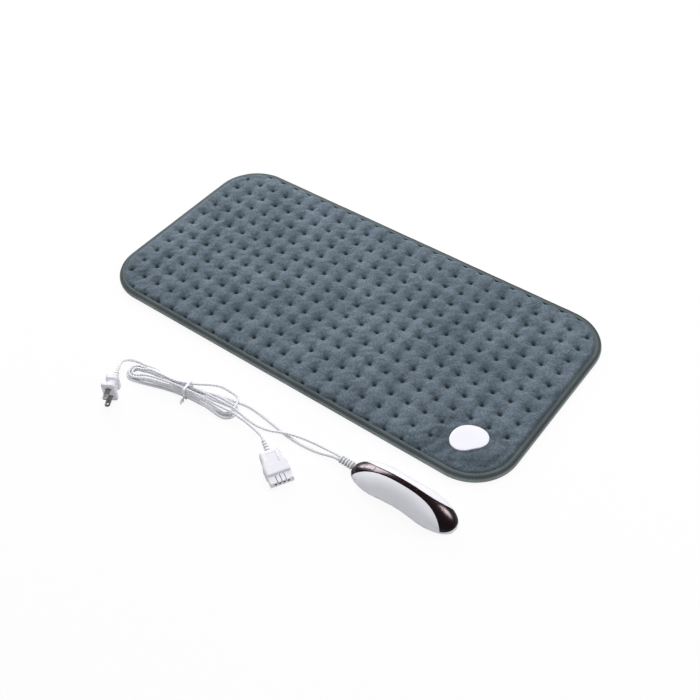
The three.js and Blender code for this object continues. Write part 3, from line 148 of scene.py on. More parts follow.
# Hank of both cords
HANK = SET @ Matrix.Translation((-0.240, -0.030, 0)) @ Matrix.Rotation(math.radians(9), 4, "Z")
FOLD_AT = 0.066
LOOP_STEPS = 24
RUN_STEPS = 7
SETTLE_POWER = 8
BIGHT = (0.82, 1.18)
BIGHT_OUT = 0.0174
BIGHT_DROP = 0.0043
BIGHT_SAG = 8
BIGHT_CORNER = (0.90, 1.06)

# Connector and plug, +X of their own frames away from the cord
CONNECTOR = SET @ Matrix.Translation((-0.1086, -0.0314, 0.0068)) @ Matrix.Rotation(math.radians(-30), 4, "Z")
PLUG = SET @ Matrix.Translation((-0.3178, -0.0590, 0.01425)) @ Matrix.Rotation(math.radians(-59.7), 4, "Z")
CONNECTOR_RELIEF = 0.020
CONNECTOR_RELIEF_END = 0.0072
PLUG_RELIEF = 0.0115
PLUG_RELIEF_END = 0.009

PAD_BODY = "heating_pad"

# Distance below which two points are one, and the least divisor
CLOSE = 1e-6
TINY = 1e-9


# Helpers
def srgb(red, green, blue):
    """A screen tone of 0 to 255 as the linear colour that a shader takes."""
    linear = []
    for value in (red, green, blue):
        share = value / 255
        linear.append(share / 12.92 if share <= 0.04045 else ((share + 0.055) / 1.055) ** 2.4)
    return (*linear, 1.0)


def grey(value):
    return (value, value, value, 1.0)


def darker(colour, share):
    return (*(share * part for part in colour[:3]), 1.0)


def smooth_step(low, high, value):
    share = np.clip((value - low) / (high - low), 0.0, 1.0)
    return share * share * (3 - 2 * share)


def fade(distance, reach, power=2):
    """1 at no distance, and near 0 beyond the reach."""
    return np.exp(-((distance / reach) ** power))


def turns(count, start=0.0):
    """Angles of even steps round a circle."""
    return [2 * math.pi * (k + start) / count for k in range(count)]


def placed(place, points):
    return [place @ Vector(p) for p in points]


def set_up(target, settings):
    for name, value in settings.items():
        setattr(target, name, value)
    return target


def add_object(name, data):
    piece = bpy.data.objects.new(name, data)
    bpy.context.scene.collection.objects.link(piece)
    return piece


def add_mesh(name, points, faces, material):
    mesh = bpy.data.meshes.new(name)
    mesh.from_pydata([tuple(p) for p in points], [], faces)
    mesh.update()
    mesh.shade_smooth()
    mesh.materials.append(material)
    return add_object(name, mesh)


def add_shade(piece, name, values):
    """Gives each point a value for a finish to read."""
    layer = piece.data.attributes.new(name, "FLOAT", "POINT")
    layer.data.foreach_set("value", np.asarray(values, np.float32))


def add_step(piece, name, kind, **settings):
    """Adds a modifier with its settings."""
    return set_up(piece.modifiers.new(name, kind), settings)


def point_places(piece):
    return np.array([vertex.co for vertex in piece.data.vertices])


def move_points(piece, places):
    piece.data.vertices.foreach_set("co", np.asarray(places, np.float32).ravel())
    piece.data.update()


def lattice(rows, columns, wrap=False, closed=False):
    """Faces of points laid row by row; wrap joins the last column to the first, and closed the last row."""
    faces = []
    for row in range(rows if closed else rows - 1):
        low = row * columns
        high = (row + 1) % rows * columns
        for column in range(columns if wrap else columns - 1):
            after = (column + 1) % columns
            faces.append((low + column, low + after, high + after, high + column))
    return faces


def tube(rings, sides):
    """Faces of a row of rings, with a face over each end."""
    first = tuple(range(sides))
    last = tuple(range((rings - 1) * sides, rings * sides))
    return [*lattice(rings, sides, wrap=True), first, last]


def bake(piece):
    """Makes the piece's modifiers part of its own mesh."""
    graph = bpy.context.evaluated_depsgraph_get()
    made = piece.evaluated_get(graph)
    mesh = bpy.data.meshes.new_from_object(made, preserve_all_data_layers=True, depsgraph=graph)
    piece.modifiers.clear()
    piece.data = mesh
    mesh.name = piece.name
    return piece


def reshape(piece, change):
    """Works on the piece's mesh as an editable shape."""
    shape = bmesh.new()
    shape.from_mesh(piece.data)
    change(shape)
    shape.to_mesh(piece.data)
    shape.free()
    return piece


def outward(piece):
    """Turns the faces of a closed piece outwards."""
    def turn(shape):
        bmesh.ops.remove_doubles(shape, verts=shape.verts, dist=CLOSE)
        bmesh.ops.recalc_face_normals(shape, faces=shape.faces)

    return reshape(piece, turn)


def welded(piece):
    """Merges points that fall together and drops the faces that close up with them."""
    def weld(shape):
        bmesh.ops.remove_doubles(shape, verts=shape.verts, dist=2 * CLOSE)
        bmesh.ops.dissolve_degenerate(shape, edges=shape.edges, dist=CLOSE)

    return reshape(piece, weld)


def crisp(piece, degrees):
    """Smooth shading with hard edges above an angle."""
    piece.data.set_sharp_from_angle(angle=math.radians(degrees))
    return piece


def cut(piece, *tools):
    for tool in tools:
        add_step(piece, "cut", "BOOLEAN", operation="DIFFERENCE", solver="EXACT", object=tool)
    bake(piece)
    for tool in tools:
        bpy.data.objects.remove(tool)
    return piece


def prism(name, plan, floor, top, place):
    """Upright block over a plan outline."""
    points = placed(place, [(x, y, height) for height in (floor, top) for x, y in plan])
    return outward(add_mesh(name, points, tube(2, len(plan)), None))


def turned(name, profile, sides, place, material, wide=1.0, flat=1.0):
    """Body turned about its own +X from (along, radius, depth of the groove from 0 to 1) rows."""
    points = []
    for along, radius, _ in profile:
        ring = [(along, wide * radius * math.cos(a), flat * radius * math.sin(a)) for a in turns(sides)]
        points.extend(placed(place, ring))
    piece = add_mesh(name, points, tube(len(profile), sides), material)
    # The groove depth drives painted shade in the relief finish
    add_shade(piece, "groove", np.repeat([depth for _, _, depth in profile], sides))
    return outward(piece)


def dress(piece, slot, *stands_for, body=PAD_BODY):
    """Puts a finished piece on its body and hides the nodes it stands for; its slot is not used."""
    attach(piece, body)
    if stands_for:
        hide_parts(*stands_for)
    return piece


# Camera
def make_camera():
    data = bpy.data.cameras.new("photo_camera")
    camera = add_object("photo_camera", set_up(data, {"sensor_width": SENSOR_WIDTH, "lens": CAMERA_LENS}))
    up = CAMERA_RIGHT.cross(CAMERA_AHEAD)
    turn = Matrix((CAMERA_RIGHT, up, -CAMERA_AHEAD)).transposed()
    camera.matrix_world = Matrix.Translation(CAMERA_PLACE) @ turn.to_4x4()
    bpy.context.scene.camera = camera


make_camera()


# Finishes
def feed(tree, node, inputs):
    """Sets a node's inputs; each is a plain value or the output that it comes from."""
    for socket, value in inputs.items():
        if isinstance(value, bpy.types.NodeSocket):
            tree.links.new(value, node.inputs[socket])
        else:
            node.inputs[socket].default_value = value
    return node


def add_node(tree, kind, inputs=None, **settings):
    """Adds a node with its settings and inputs."""
    return feed(tree, set_up(tree.nodes.new(kind), settings), inputs or {})


def new_finish(name, colour, roughness, inputs=None):
    """A material with its tree and its one shader."""
    material = bpy.data.materials.new(name)
    material.use_nodes = True
    tree = material.node_tree
    shader = tree.nodes["Principled BSDF"]
    feed(tree, shader, {"Base Color": colour, "Roughness": roughness, **(inputs or {})})
    return material, tree, shader


def place_on(tree, scale=(1, 1, 1), source="Object"):
    coordinate = add_node(tree, "ShaderNodeTexCoord").outputs[source]
    return add_node(tree, "ShaderNodeMapping", {"Vector": coordinate, "Scale": scale}).outputs["Vector"]


def speckle(tree, place, scale, detail=3.0, roughness=0.5):
    inputs = {"Vector": place, "Scale": scale, "Detail": detail, "Roughness": roughness}
    return add_node(tree, "ShaderNodeTexNoise", inputs).outputs["Fac"]


def ridges(tree, place, scale, direction, distortion):
    inputs = {"Vector": place, "Scale": scale, "Distortion": distortion}
    return add_node(tree, "ShaderNodeTexWave", inputs, bands_direction=direction).outputs["Fac"]


def attribute(tree, name):
    return add_node(tree, "ShaderNodeAttribute", attribute_name=name).outputs["Fac"]


def tones(tree, factor, stops):
    """Ramp through (position, colour) stops, where a plain number is a grey."""
    ramp = add_node(tree, "ShaderNodeValToRGB", {"Fac": factor})
    spots = ramp.color_ramp.elements
    while len(spots) < len(stops):
        spots.new(0.5)
    for spot, (position, colour) in zip(spots, stops):
        spot.position = position
        spot.color = colour if isinstance(colour, tuple) else grey(colour)
    return ramp.outputs["Color"]


def tint(tree, base, factor, stops, share=1.0):
    """Multiplies a colour by a ramp; a mix of colours has them in its inputs 6 and 7 and its output 2."""
    inputs = {0: share, 6: base, 7: tones(tree, factor, stops)}
    return add_node(tree, "ShaderNodeMix", inputs, data_type="RGBA", blend_type="MULTIPLY").outputs[2]


def mottle(tree, shader, marks, colour, low, gloss=None):
    """Darkens the colour in its marks, and spreads the roughness between the two values of the gloss."""
    changed = {"Base Color": tones(tree, marks, [(0.3, darker(colour, low)), (0.7, colour)])}
    if gloss:
        changed["Roughness"] = tones(tree, marks, [(0.3, gloss[0]), (0.7, gloss[1])])
    feed(tree, shader, changed)


def add_bump(tree, shader, height, strength, distance):
    """Adds a bump below those that the shader already has."""
    node = add_node(tree, "ShaderNodeBump", {"Height": height, "Strength": strength, "Distance": distance})
    normal = shader.inputs["Normal"]
    if normal.is_linked:
        tree.links.new(normal.links[0].from_socket, node.inputs["Normal"])
    tree.links.new(node.outputs["Normal"], normal)


def plush_finish():
    """Short brushed pile with nap patches and clumps, painted shade in its tuft pits and painted light and
    shade on its slopes.
    """
    sheen = {"Sheen Weight": 0.35, "Sheen Roughness": 0.45, "Sheen Tint": srgb(196, 208, 218)}
    sheen["Specular IOR Level"] = 0.15
    material, tree, shader = new_finish("plush_pile", srgb(104, 117, 129), roughness=0.95, inputs=sheen)
    place = place_on(tree)
    nap = speckle(tree, place, scale=34.0, detail=2.0)
    clump = speckle(tree, place, scale=430.0, detail=4.0, roughness=0.65)
    brushed = speckle(tree, place_on(tree, (260.0, 900.0, 500.0)), scale=1.0, roughness=0.6)
    base = tones(tree, nap, [(0.3, srgb(88, 101, 111)), (0.7, srgb(109, 122, 133))])
    base = tint(tree, base, clump, [(0.34, 0.62), (0.68, 1.3)])
    base = tint(tree, base, brushed, [(0.3, 0.8), (0.7, 1.12)], share=0.6)
    # Painted shade: darker in the tuft pits, where shade falls
    base = tint(tree, base, attribute(tree, "tuft"), [(0.1, 1.0), (0.85, 0.16)])
    # Painted light and shade: lighter on slopes facing the lamps, darker on slopes facing away and on the
    # patch
    base = tint(tree, base, attribute(tree, "slope_shade"), [(0.25, 1.12), (0.5, 1.0), (0.85, 0.6)])
    feed(tree, shader, {"Base Color": base})
    add_bump(tree, shader, clump, strength=0.7, distance=0.0016)
    add_bump(tree, shader, brushed, strength=0.5, distance=0.0006)
    return material


TAPE_LIGHT_SHADE = [(0.0, 0.17), (0.35, 0.3), (0.6, 0.44), (1.0, (1.0, 0.94, 0.9, 1.0))]


def tape_finish():
    """Woven binding tape with fine cross ribs, painted shade in its stitch grooves and painted light on its
    outer fold.
    """
    sheen = {"Sheen Weight": 0.2, "Sheen Roughness": 0.5, "Specular IOR Level": 0.2}
    material, tree, shader = new_finish("binding_weave", srgb(84, 96, 100), roughness=0.85, inputs=sheen)
    ribs = ridges(tree, place_on(tree, source="UV"), scale=190.0, direction="Y", distortion=0.6)
    fleck = speckle(tree, place_on(tree), scale=900.0, detail=4.0, roughness=0.6)
    worn = speckle(tree, place_on(tree), scale=24.0, detail=2.0)
    base = tones(tree, worn, [(0.3, srgb(126, 140, 143)), (0.7, srgb(146, 159, 162))])
    base = tint(tree, base, fleck, [(0.25, 0.8), (0.75, 1.12)])
    base = tint(tree, base, ribs, [(0.0, 0.72), (1.0, 1.1)], share=0.5)
    # Painted light and shade: dark in the stitch grooves, pale on the outer fold
    base = tint(tree, base, attribute(tree, "light_shade"), TAPE_LIGHT_SHADE)
    feed(tree, shader, {"Base Color": base})
    add_bump(tree, shader, ribs, strength=0.5, distance=0.0003)
    add_bump(tree, shader, fleck, strength=0.4, distance=0.0004)
    return material


def thread_finish(name, colour):
    material, tree, shader = new_finish(name, colour, roughness=0.7, inputs={"Sheen Weight": 0.2})
    strand = speckle(tree, place_on(tree), scale=2600.0, detail=2.0)
    mottle(tree, shader, strand, colour, low=0.7)
    add_bump(tree, shader, strand, strength=0.4, distance=0.0002)
    return material


def moulded_finish(name, colour, roughness, grain=0.15, inputs=None, uneven=0.06):
    """Moulded plastic: faint cloudiness, fine grain and uneven gloss."""
    material, tree, shader = new_finish(name, colour, roughness, inputs)
    place = place_on(tree)
    gloss = (roughness * (1 - uneven), roughness * (1 + uneven))
    mottle(tree, shader, speckle(tree, place, scale=40.0), colour, low=0.97, gloss=gloss)
    add_bump(tree, shader, speckle(tree, place, scale=2200.0, detail=2.0), grain, distance=0.0001)
    return material


def relief_finish():
    """Flexible white moulding, with painted shade that greys its grooves."""
    white = srgb(242, 242, 245)
    material, tree, shader = new_finish("relief_plastic", white, roughness=0.45)
    cloud = speckle(tree, place_on(tree), scale=300.0)
    # Painted shade: greyer where the groove sinks deeper
    groove_shade = tones(tree, attribute(tree, "groove"), [(0.2, white), (0.9, srgb(172, 172, 178))])
    feed(tree, shader, {"Base Color": tint(tree, groove_shade, cloud, [(0.3, 0.93), (0.7, 1.0)])})
    add_bump(tree, shader, cloud, strength=0.15, distance=0.0002)
    return material


def metal_finish(name, colour, roughness, brush=(1, 1, 1), metallic=1.0):
    material, tree, shader = new_finish(name, colour, roughness, {"Metallic": metallic})
    marks = speckle(tree, place_on(tree, brush), scale=1400.0, roughness=0.6)
    mottle(tree, shader, marks, colour, low=0.8, gloss=(roughness * 0.8, roughness * 1.3))
    add_bump(tree, shader, marks, strength=0.15, distance=0.0001)
    return material


def felt_finish():
    material, tree, shader = new_finish("needled_felt", srgb(186, 181, 170), roughness=0.95)
    mat = speckle(tree, place_on(tree), scale=700.0, detail=5.0, roughness=0.7)
    base = tones(tree, mat, [(0.25, srgb(160, 155, 145)), (0.75, srgb(201, 197, 187))])
    feed(tree, shader, {"Base Color": base})
    add_bump(tree, shader, mat, strength=0.6, distance=0.0005)
    return material


def cord_finish(name, colour):
    """Soft white cord sheath with a slight orange-peel skin along its length."""
    material, tree, shader = new_finish(name, colour, roughness=0.42)
    skin = speckle(tree, place_on(tree, (6.0, 900.0, 1.0), "UV"), scale=1.0, detail=2.0)
    mottle(tree, shader, skin, colour, low=0.96)
    add_bump(tree, shader, skin, strength=0.08, distance=0.0002)
    return material


WHITE = srgb(247, 245, 252)
GLOSS_SHINE = {"Specular IOR Level": 1.0, "Specular Tint": srgb(255, 234, 242)}
finishes = {
    "plush": plush_finish(),
    "tape": tape_finish(),
    "tape_thread": thread_finish("binding_thread", srgb(84, 94, 97)),
    "tuft_thread": thread_finish("tuft_thread", srgb(38, 46, 52)),
    "felt": felt_finish(),
    "white": moulded_finish("white_plastic", WHITE, roughness=0.3),
    "satin_white": moulded_finish("satin_white_plastic", srgb(239, 237, 244), roughness=0.4, grain=0.3),
    "relief": relief_finish(),
    "gloss": moulded_finish(
        "dark_gloss", srgb(24, 11, 15), roughness=0.22, grain=0.01, inputs=GLOSS_SHINE, uneven=0.03
    ),
    "cord": cord_finish("cord_sheath", srgb(238, 237, 241)),
    "lead": cord_finish("twisted_lead_sheath", srgb(234, 233, 239)),
    "black": moulded_finish("black_plastic", srgb(32, 32, 35), roughness=0.45, grain=0.3),
    "amber": moulded_finish("amber_plastic", srgb(196, 158, 44), roughness=0.4),
    "sleeve": moulded_finish("wire_sleeve", srgb(176, 74, 60), roughness=0.55, grain=0.3),
    "ceramic": moulded_finish("ceramic_tube", srgb(214, 210, 200), roughness=0.35),
    "laminate": moulded_finish("board_laminate", srgb(50, 108, 62), roughness=0.4, grain=0.3),
    "pipe": moulded_finish("smoky_pipe", srgb(50, 42, 46), roughness=0.2, grain=0.02),
    "brass": metal_finish("brass", srgb(206, 170, 92), roughness=0.3),
    "steel": metal_finish("steel", srgb(186, 188, 192), roughness=0.32),
    "nickel": metal_finish(
        "dull_nickel", srgb(158, 156, 151), roughness=0.35, brush=(0.2, 0.2, 1), metallic=0.6
    ),
}


# Cords: the routes run from the controller's cord end, the loops from the middle of the hank
MAINS_RUN = [
    (-0.0208, -0.00205, 0.0065), (-0.027, -0.0021, 0.0062), (-0.036, -0.0034, 0.0046),
    (-0.047, -0.0054, 0.0026), (-0.058, -0.007, MAINS_FLOOR), (-0.072, -0.0082, MAINS_FLOOR),
    (-0.086, -0.008, MAINS_FLOOR), (-0.100, -0.0068, MAINS_FLOOR), (-0.116, -0.0044, MAINS_FLOOR),
    (-0.132, -0.0022, MAINS_FLOOR), (-0.146, -0.0008, MAINS_FLOOR), (-0.158, -0.0005, MAINS_FLOOR),
]
MAINS_TAIL = [
    (-0.3222, -0.0286, 0.0044), (-0.3264, -0.0348, 0.0084), (-0.3268, -0.0428, 0.0124),
]
LEAD_RUN = [
    (-0.0208, 0.00205, 0.0065), (-0.027, 0.0022, 0.0062), (-0.036, 0.0026, 0.0048),
    (-0.048, 0.0024, 0.0034), (-0.060, 0.0012, 0.0036), (-0.072, -0.0014, 0.005),
    (-0.084, -0.0048, 0.0062), (-0.094, -0.008, 0.0062), (-0.104, -0.011, 0.0044),
    (-0.114, -0.0136, 0.0024), (-0.124, -0.0157, LEAD_FLOOR), (-0.134, -0.0172, 0.0026),
    (-0.144, -0.0182, 0.0056), (-0.154, -0.0184, 0.009),
]
LEAD_INTO_HANK = [
    (0.076, 0.001, 0.0106), (0.062, 0.0021, 0.0112), (0.046, 0.0034, 0.012),
    (0.032, 0.0046, 0.0118), (0.018, 0.0053, 0.0112),
]
LEAD_OUT_OF_HANK = [
    (0.024, -0.0034, 0.0152), (0.042, -0.0043, 0.0138), (0.060, -0.0046, 0.0114),
    (0.076, -0.0048, 0.010),
]
LEAD_TAIL = [
    (-0.152, -0.0231, 0.0088), (-0.143, -0.0231, 0.0078), (-0.134, -0.024, 0.007),
    (-0.125, -0.0254, 0.0065),
]
MAINS_LOOPS = {
    "start": 0.0, "end": 2 + RUN_STEPS / LOOP_STEPS, "fold": 0.0159, "waist": 0.0079, "step": 0.0045,
    "draw": 0.0025, "turn_back": 2.5, "rest": MAINS_FLOOR, "floor": 0.0029, "layer": 0.0043,
    "climb": (1.0, 1 + RUN_STEPS / LOOP_STEPS), "bight": 0.0,
}
LEAD_LOOPS = {
    "start": 0.15246, "end": 1.6392, "fold": 0.0112, "waist": 0.0062, "step": 0.002,
    "draw": 0.0015, "turn_back": 3, "rest": 0.00605, "floor": 0.0112, "layer": 0.0040,
    "climb": (0.82, 1.09), "bight": 1.0,
}


def hank_point(loops, turn):
    """Place on a cord that folds back and forth between two ends, piled up and drawn in at the waist."""
    phase = (turn % 1) * LOOP_STEPS
    half = LOOP_STEPS / 2
    side = 1 if phase < half else -1
    place = phase % half
    run = 2 * math.floor(turn) + (1 if side < 0 else 0)
    before, after = (min(count, 2 * loops["turn_back"] - count) for count in (run, run + 1))
    level = before + (after - before) * min(place / RUN_STEPS, 1.0)
    fold = loops["fold"] - loops["step"] * level
    waist = loops["waist"] - loops["draw"] * level
    spread = 1.0
    if place < RUN_STEPS:
        x = side * FOLD_AT * (1 - 2 * place / RUN_STEPS)
        spread = math.sin(math.pi / 2 * x / FOLD_AT) ** 2
        y = side * (waist + (fold - waist) * spread)
    else:
        angle = math.pi * (place - RUN_STEPS) / (half - RUN_STEPS)
        x = -side * (FOLD_AT + fold * math.sin(angle))
        y = side * fold * math.cos(angle)
    piled = loops["floor"] + loops["layer"] * float(smooth_step(*loops["climb"], turn))
    settled = piled + (loops["rest"] - piled) * spread ** SETTLE_POWER
    loose = min(max((turn - BIGHT[0]) / (BIGHT[1] - BIGHT[0]), 0.0), 1.0)
    bulge = loops["bight"] * math.sin(math.pi * loose) ** 2
    return HANK @ Vector((x, y + BIGHT_OUT * bulge, settled - BIGHT_DROP * bulge ** BIGHT_SAG))


EASED_STEP = 0.002
EASED_PASSES = 22
HANK_STEPS = 72
RELIEF_BITE = 0.0006


def eased(points):
    """The same stretch at even steps, with its sharp corner rounded off."""
    route, _ = smooth_route(points, EASED_STEP)
    for _ in range(EASED_PASSES):
        route[1:-1] = (route[:-2] + 2 * route[1:-1] + route[2:]) / 4
    return [Vector(p) for p in route]


def straight_on(first, second, diameter):
    """Two points beyond the first one, level with it and in line with the second."""
    ahead = first - second
    ahead.z = 0
    ahead.normalize()
    return [first + ahead * diameter * k for k in (1, 2)]


def hank_loops(loops, diameter):
    """The loops' points, with two straight ones before and after them."""
    span = loops["end"] - loops["start"]
    count = round(span * HANK_STEPS)
    points = [hank_point(loops, loops["start"] + span * k / count) for k in range(count + 1)]
    if loops["bight"]:
        first, last = (round((turn - loops["start"]) / span * count) for turn in BIGHT_CORNER)
        points[first:last] = eased(points[first:last])
    lead_in = straight_on(points[0], points[1], diameter)
    return lead_in[::-1] + points + straight_on(points[-1], points[-2], diameter)


def into_relief(place, diameter):
    """Two points of a cord that runs straight into a moulded relief."""
    return placed(place, [(-2 * diameter, 0, 0), (RELIEF_BITE, 0, 0)])


def smooth_route(points, spacing):
    """Centripetal curve through the points, with places at even steps along it."""
    points = [np.array(p, float) for p in points]
    points = [2 * points[0] - points[1], *points, 2 * points[-1] - points[-2]]
    fine = []
    for a, b, c, d in zip(points, points[1:], points[2:], points[3:]):
        knots = [0.0]
        for p, q in ((a, b), (b, c), (c, d)):
            knots.append(knots[-1] + max(np.linalg.norm(q - p), TINY) ** 0.5)
        t0, t1, t2, t3 = knots
        steps = max(int(np.linalg.norm(c - b) / (spacing / 3)), 2)
        for k in range(steps):
            t = t1 + (t2 - t1) * k / steps
            ab = ((t1 - t) * a + (t - t0) * b) / (t1 - t0)
            bc = ((t2 - t) * b + (t - t1) * c) / (t2 - t1)
            cd = ((t3 - t) * c + (t - t2) * d) / (t3 - t2)
            first = ((t2 - t) * ab + (t - t0) * bc) / (t2 - t0)
            second = ((t3 - t) * bc + (t - t1) * cd) / (t3 - t1)
            fine.append(((t2 - t) * first + (t - t1) * second) / (t2 - t1))
    fine.append(points[-2])
    fine = np.array(fine)
    run = np.concatenate([[0.0], np.cumsum(np.linalg.norm(np.diff(fine, axis=0), axis=1))])
    even = np.linspace(0.0, run[-1], max(int(run[-1] / spacing), 2))
    return np.stack([np.interp(even, run, fine[:, axis]) for axis in range(3)], axis=1), even


def cord_piece(name, points, diameter, spacing, sides, material, lay=0.0, lobes=0.0):
    """Tube along a route, its map in turns round and metres along; lobes with a lay twist two cores."""
    route, run = smooth_route(points, spacing)
    tangents = np.gradient(route, axis=0)
    tangents /= np.linalg.norm(tangents, axis=1)[:, None]
    across = np.cross(tangents[0], (0.0, 0.0, 1.0))
    across /= np.linalg.norm(across)
    spots = []
    for spot, tangent, along in zip(route, tangents, run):
        across = across - tangent * np.dot(across, tangent)
        across /= np.linalg.norm(across)
        upright = np.cross(tangent, across)
        twist = 2 * math.pi * along / lay if lay else 0.0
        for angle in turns(sides):
            radius = diameter / 2 * (1 - lobes * math.sin(angle - twist) ** 2)
            spots.append(spot + radius * (math.cos(angle) * across + math.sin(angle) * upright))
    piece = add_mesh(name, spots, tube(len(route), sides), material)
    layer = piece.data.uv_layers.new(name="UVMap")
    for face in piece.data.polygons:
        for loop in face.loop_indices:
            ring, side = divmod(piece.data.loops[loop].vertex_index, sides)
            wrapped = 1.0 if side == 0 and face.index % sides == sides - 1 else side / sides
            layer.data[loop].uv = (wrapped, run[ring])
    outward(piece)
    return piece, [tuple(p) for p in route]


MAINS_STEP = 0.0022
MAINS_SIDES = 16
LEAD_STEP = 0.0008
LEAD_SIDES = 14
LEAD_LOBES = 0.22


def make_cords():
    mains_points = [
        *placed(SET, MAINS_RUN),
        *hank_loops(MAINS_LOOPS, MAINS_DIAMETER),
        *placed(SET, MAINS_TAIL),
        *into_relief(PLUG, MAINS_DIAMETER),
    ]
    lead_points = [
        *placed(SET, LEAD_RUN),
        *placed(HANK, LEAD_INTO_HANK),
        *hank_loops(LEAD_LOOPS, LEAD_DIAMETER),
        *placed(HANK, LEAD_OUT_OF_HANK),
        *placed(SET, LEAD_TAIL),
        *into_relief(CONNECTOR, LEAD_DIAMETER),
    ]
    mains, mains_path = cord_piece(
        "mains_cord", mains_points, MAINS_DIAMETER, MAINS_STEP, MAINS_SIDES, finishes["cord"]
    )
    lead, lead_path = cord_piece(
        "pad_lead", lead_points, LEAD_DIAMETER, LEAD_STEP, LEAD_SIDES, finishes["lead"], LEAD_LAY, LEAD_LOBES
    )
    dress(mains, "cord_plastic", "mains_run", "mains_hank", "mains_tail")
    dress(lead, "cord_plastic", "lead_run", "lead_hank", "lead_tail")
    return mains, mains_path, lead, lead_path


mains_cord, mains_path, pad_lead, lead_path = make_cords()


# Moulded reliefs: a shape's rows are the share of a pitch and how far the surface sinks there
GROOVE_SHAPE = ((0.0, 0.0), (0.08, 0.6), (0.16, 1.0), (0.34, 1.0), (0.42, 0.6), (0.5, 0.0))
GROOVE_DEPTH = 0.2
GROOVE_START = 0.55
GROOVE_SPARE = 0.5
SLEEVE_WALL = 0.0006
SLEEVE_SIDES = 32
SLEEVE_TIP = ((0.0003, -0.0005), (0.0006, 0.0))
SLEEVE_END = ((-0.0006, 0.0), (-0.0001, -0.0004))
RIB_SHAPE = ((0.0, 1.0), (0.06, 0.35), (0.14, 0.0), (0.44, 0.0), (0.52, 0.35), (0.58, 1.0), (0.96, 1.0))
RIBBED_TIP = 0.0030
RIBBED_NECK = 0.0036
RIBBED_EDGE = 0.0003
RIBBED_START = 0.0005
RIBBED_ROOT = 0.0105
RIBBED_SIDES = 40


def grooved_profile(length, tip, end, grooves):
    """Tapered sleeve with round-edged grooves; the rows of its ends are steps along and in radius."""
    profile = [(along, tip + step, 0.0) for along, step in SLEEVE_TIP]
    pitch = length / (grooves + GROOVE_SPARE)
    for groove in range(grooves):
        start = pitch * (groove + GROOVE_START)
        for share, sink in GROOVE_SHAPE:
            along = start + pitch * share
            radius = tip + (end - tip) * along / length
            profile.append((along, radius * (1 - GROOVE_DEPTH * sink), sink))
    return profile + [(length + along, end + step, 0.0) for along, step in SLEEVE_END]


def make_sleeve(name, node, place, cord, length, end, grooves):
    profile = grooved_profile(length, cord / 2 + SLEEVE_WALL, end / 2, grooves)
    sleeve = turned(name, profile, SLEEVE_SIDES, place, finishes["relief"])
    return dress(crisp(sleeve, degrees=50), "cord_plastic", node)


def make_ribbed_relief():
    """Flattened relief of the controller, with ribs round it and a root inside the housing."""
    ribs = [(-RELIEF_LENGTH, RIBBED_TIP, 0.0), (-RELIEF_LENGTH + RIBBED_EDGE, RIBBED_NECK, 1.0)]
    for rib in range(RELIEF_RIBS):
        start = -RELIEF_LENGTH + RIBBED_START + rib * RELIEF_PITCH
        for share, sink in RIB_SHAPE:
            ribs.append((start + share * RELIEF_PITCH, RELIEF_RADIUS - sink * RELIEF_GROOVE, sink))
    ribs.append((0.0, RIBBED_NECK, 1.0))
    ribs.append((RIBBED_ROOT, RIBBED_NECK, 1.0))
    place = SET @ Matrix.Translation((0, 0, RELIEF_AXIS))
    relief = turned("ribbed_relief", ribs, RIBBED_SIDES, place, finishes["relief"], RELIEF_WIDE, RELIEF_FLAT)
    dress(crisp(relief, degrees=50), "cord_plastic", "strain_relief")


connector_sleeve = make_sleeve(
    "connector_sleeve", "connector_relief", CONNECTOR, LEAD_DIAMETER,
    CONNECTOR_RELIEF, CONNECTOR_RELIEF_END, grooves=4,
)
plug_sleeve = make_sleeve(
    "plug_sleeve", "plug_relief", PLUG, MAINS_DIAMETER,
    PLUG_RELIEF, PLUG_RELIEF_END, grooves=2,
)
make_ribbed_relief()


# Pad outline
def outline(inset, height=0.0, corner_steps=24, side_steps=(150, 60)):
    """Rounded rectangle at an inset from the pad's edge, the same count of points at every inset."""
    radius = PAD_CORNER - inset
    reach_x = PAD_LENGTH / 2 - PAD_CORNER
    reach_y = PAD_WIDTH / 2 - PAD_CORNER
    corners = [(reach_x, reach_y), (-reach_x, reach_y), (-reach_x, -reach_y), (reach_x, -reach_y)]
    points = []
    for quarter, (x, y) in enumerate(corners):
        for k in range(corner_steps):
            angle = math.pi / 2 * (quarter + k / corner_steps)
            points.append((x + radius * math.cos(angle), y + radius * math.sin(angle), height))
        turn = math.pi / 2 * (quarter + 1)
        start_x = x + radius * math.cos(turn)
        start_y = y + radius * math.sin(turn)
        next_x, next_y = corners[(quarter + 1) % 4]
        steps = side_steps[quarter % 2]
        for share in np.arange(steps) / steps:
            points.append((start_x + (next_x - x) * share, start_y + (next_y - y) * share, height))
    return points


def edge_inset(x, y):
    """Distance in from the pad's edge, for arrays of places."""
    away_x = np.abs(x) - (PAD_LENGTH / 2 - PAD_CORNER)
    away_y = np.abs(y) - (PAD_WIDTH / 2 - PAD_CORNER)
    outside = np.hypot(np.maximum(away_x, 0.0), np.maximum(away_y, 0.0))
    inside = np.minimum(np.maximum(away_x, away_y), 0.0)
    return PAD_CORNER - outside - inside


PATCH_FADE_OUT = 0.010
PATCH_FADE_IN = 0.006
TUFT_INSET = 0.014
EDGE_TUFT_INSET = 0.0075


def patch_share(x, y):
    """1 on the flat patch round the socket, 0 on the tufted cover."""
    across = smooth_step(PATCH_START_X - PATCH_FADE_OUT, PATCH_START_X + PATCH_FADE_IN, x)
    along = smooth_step(PATCH_START_Y + PATCH_FADE_OUT, PATCH_START_Y - PATCH_FADE_IN, y)
    return across * along


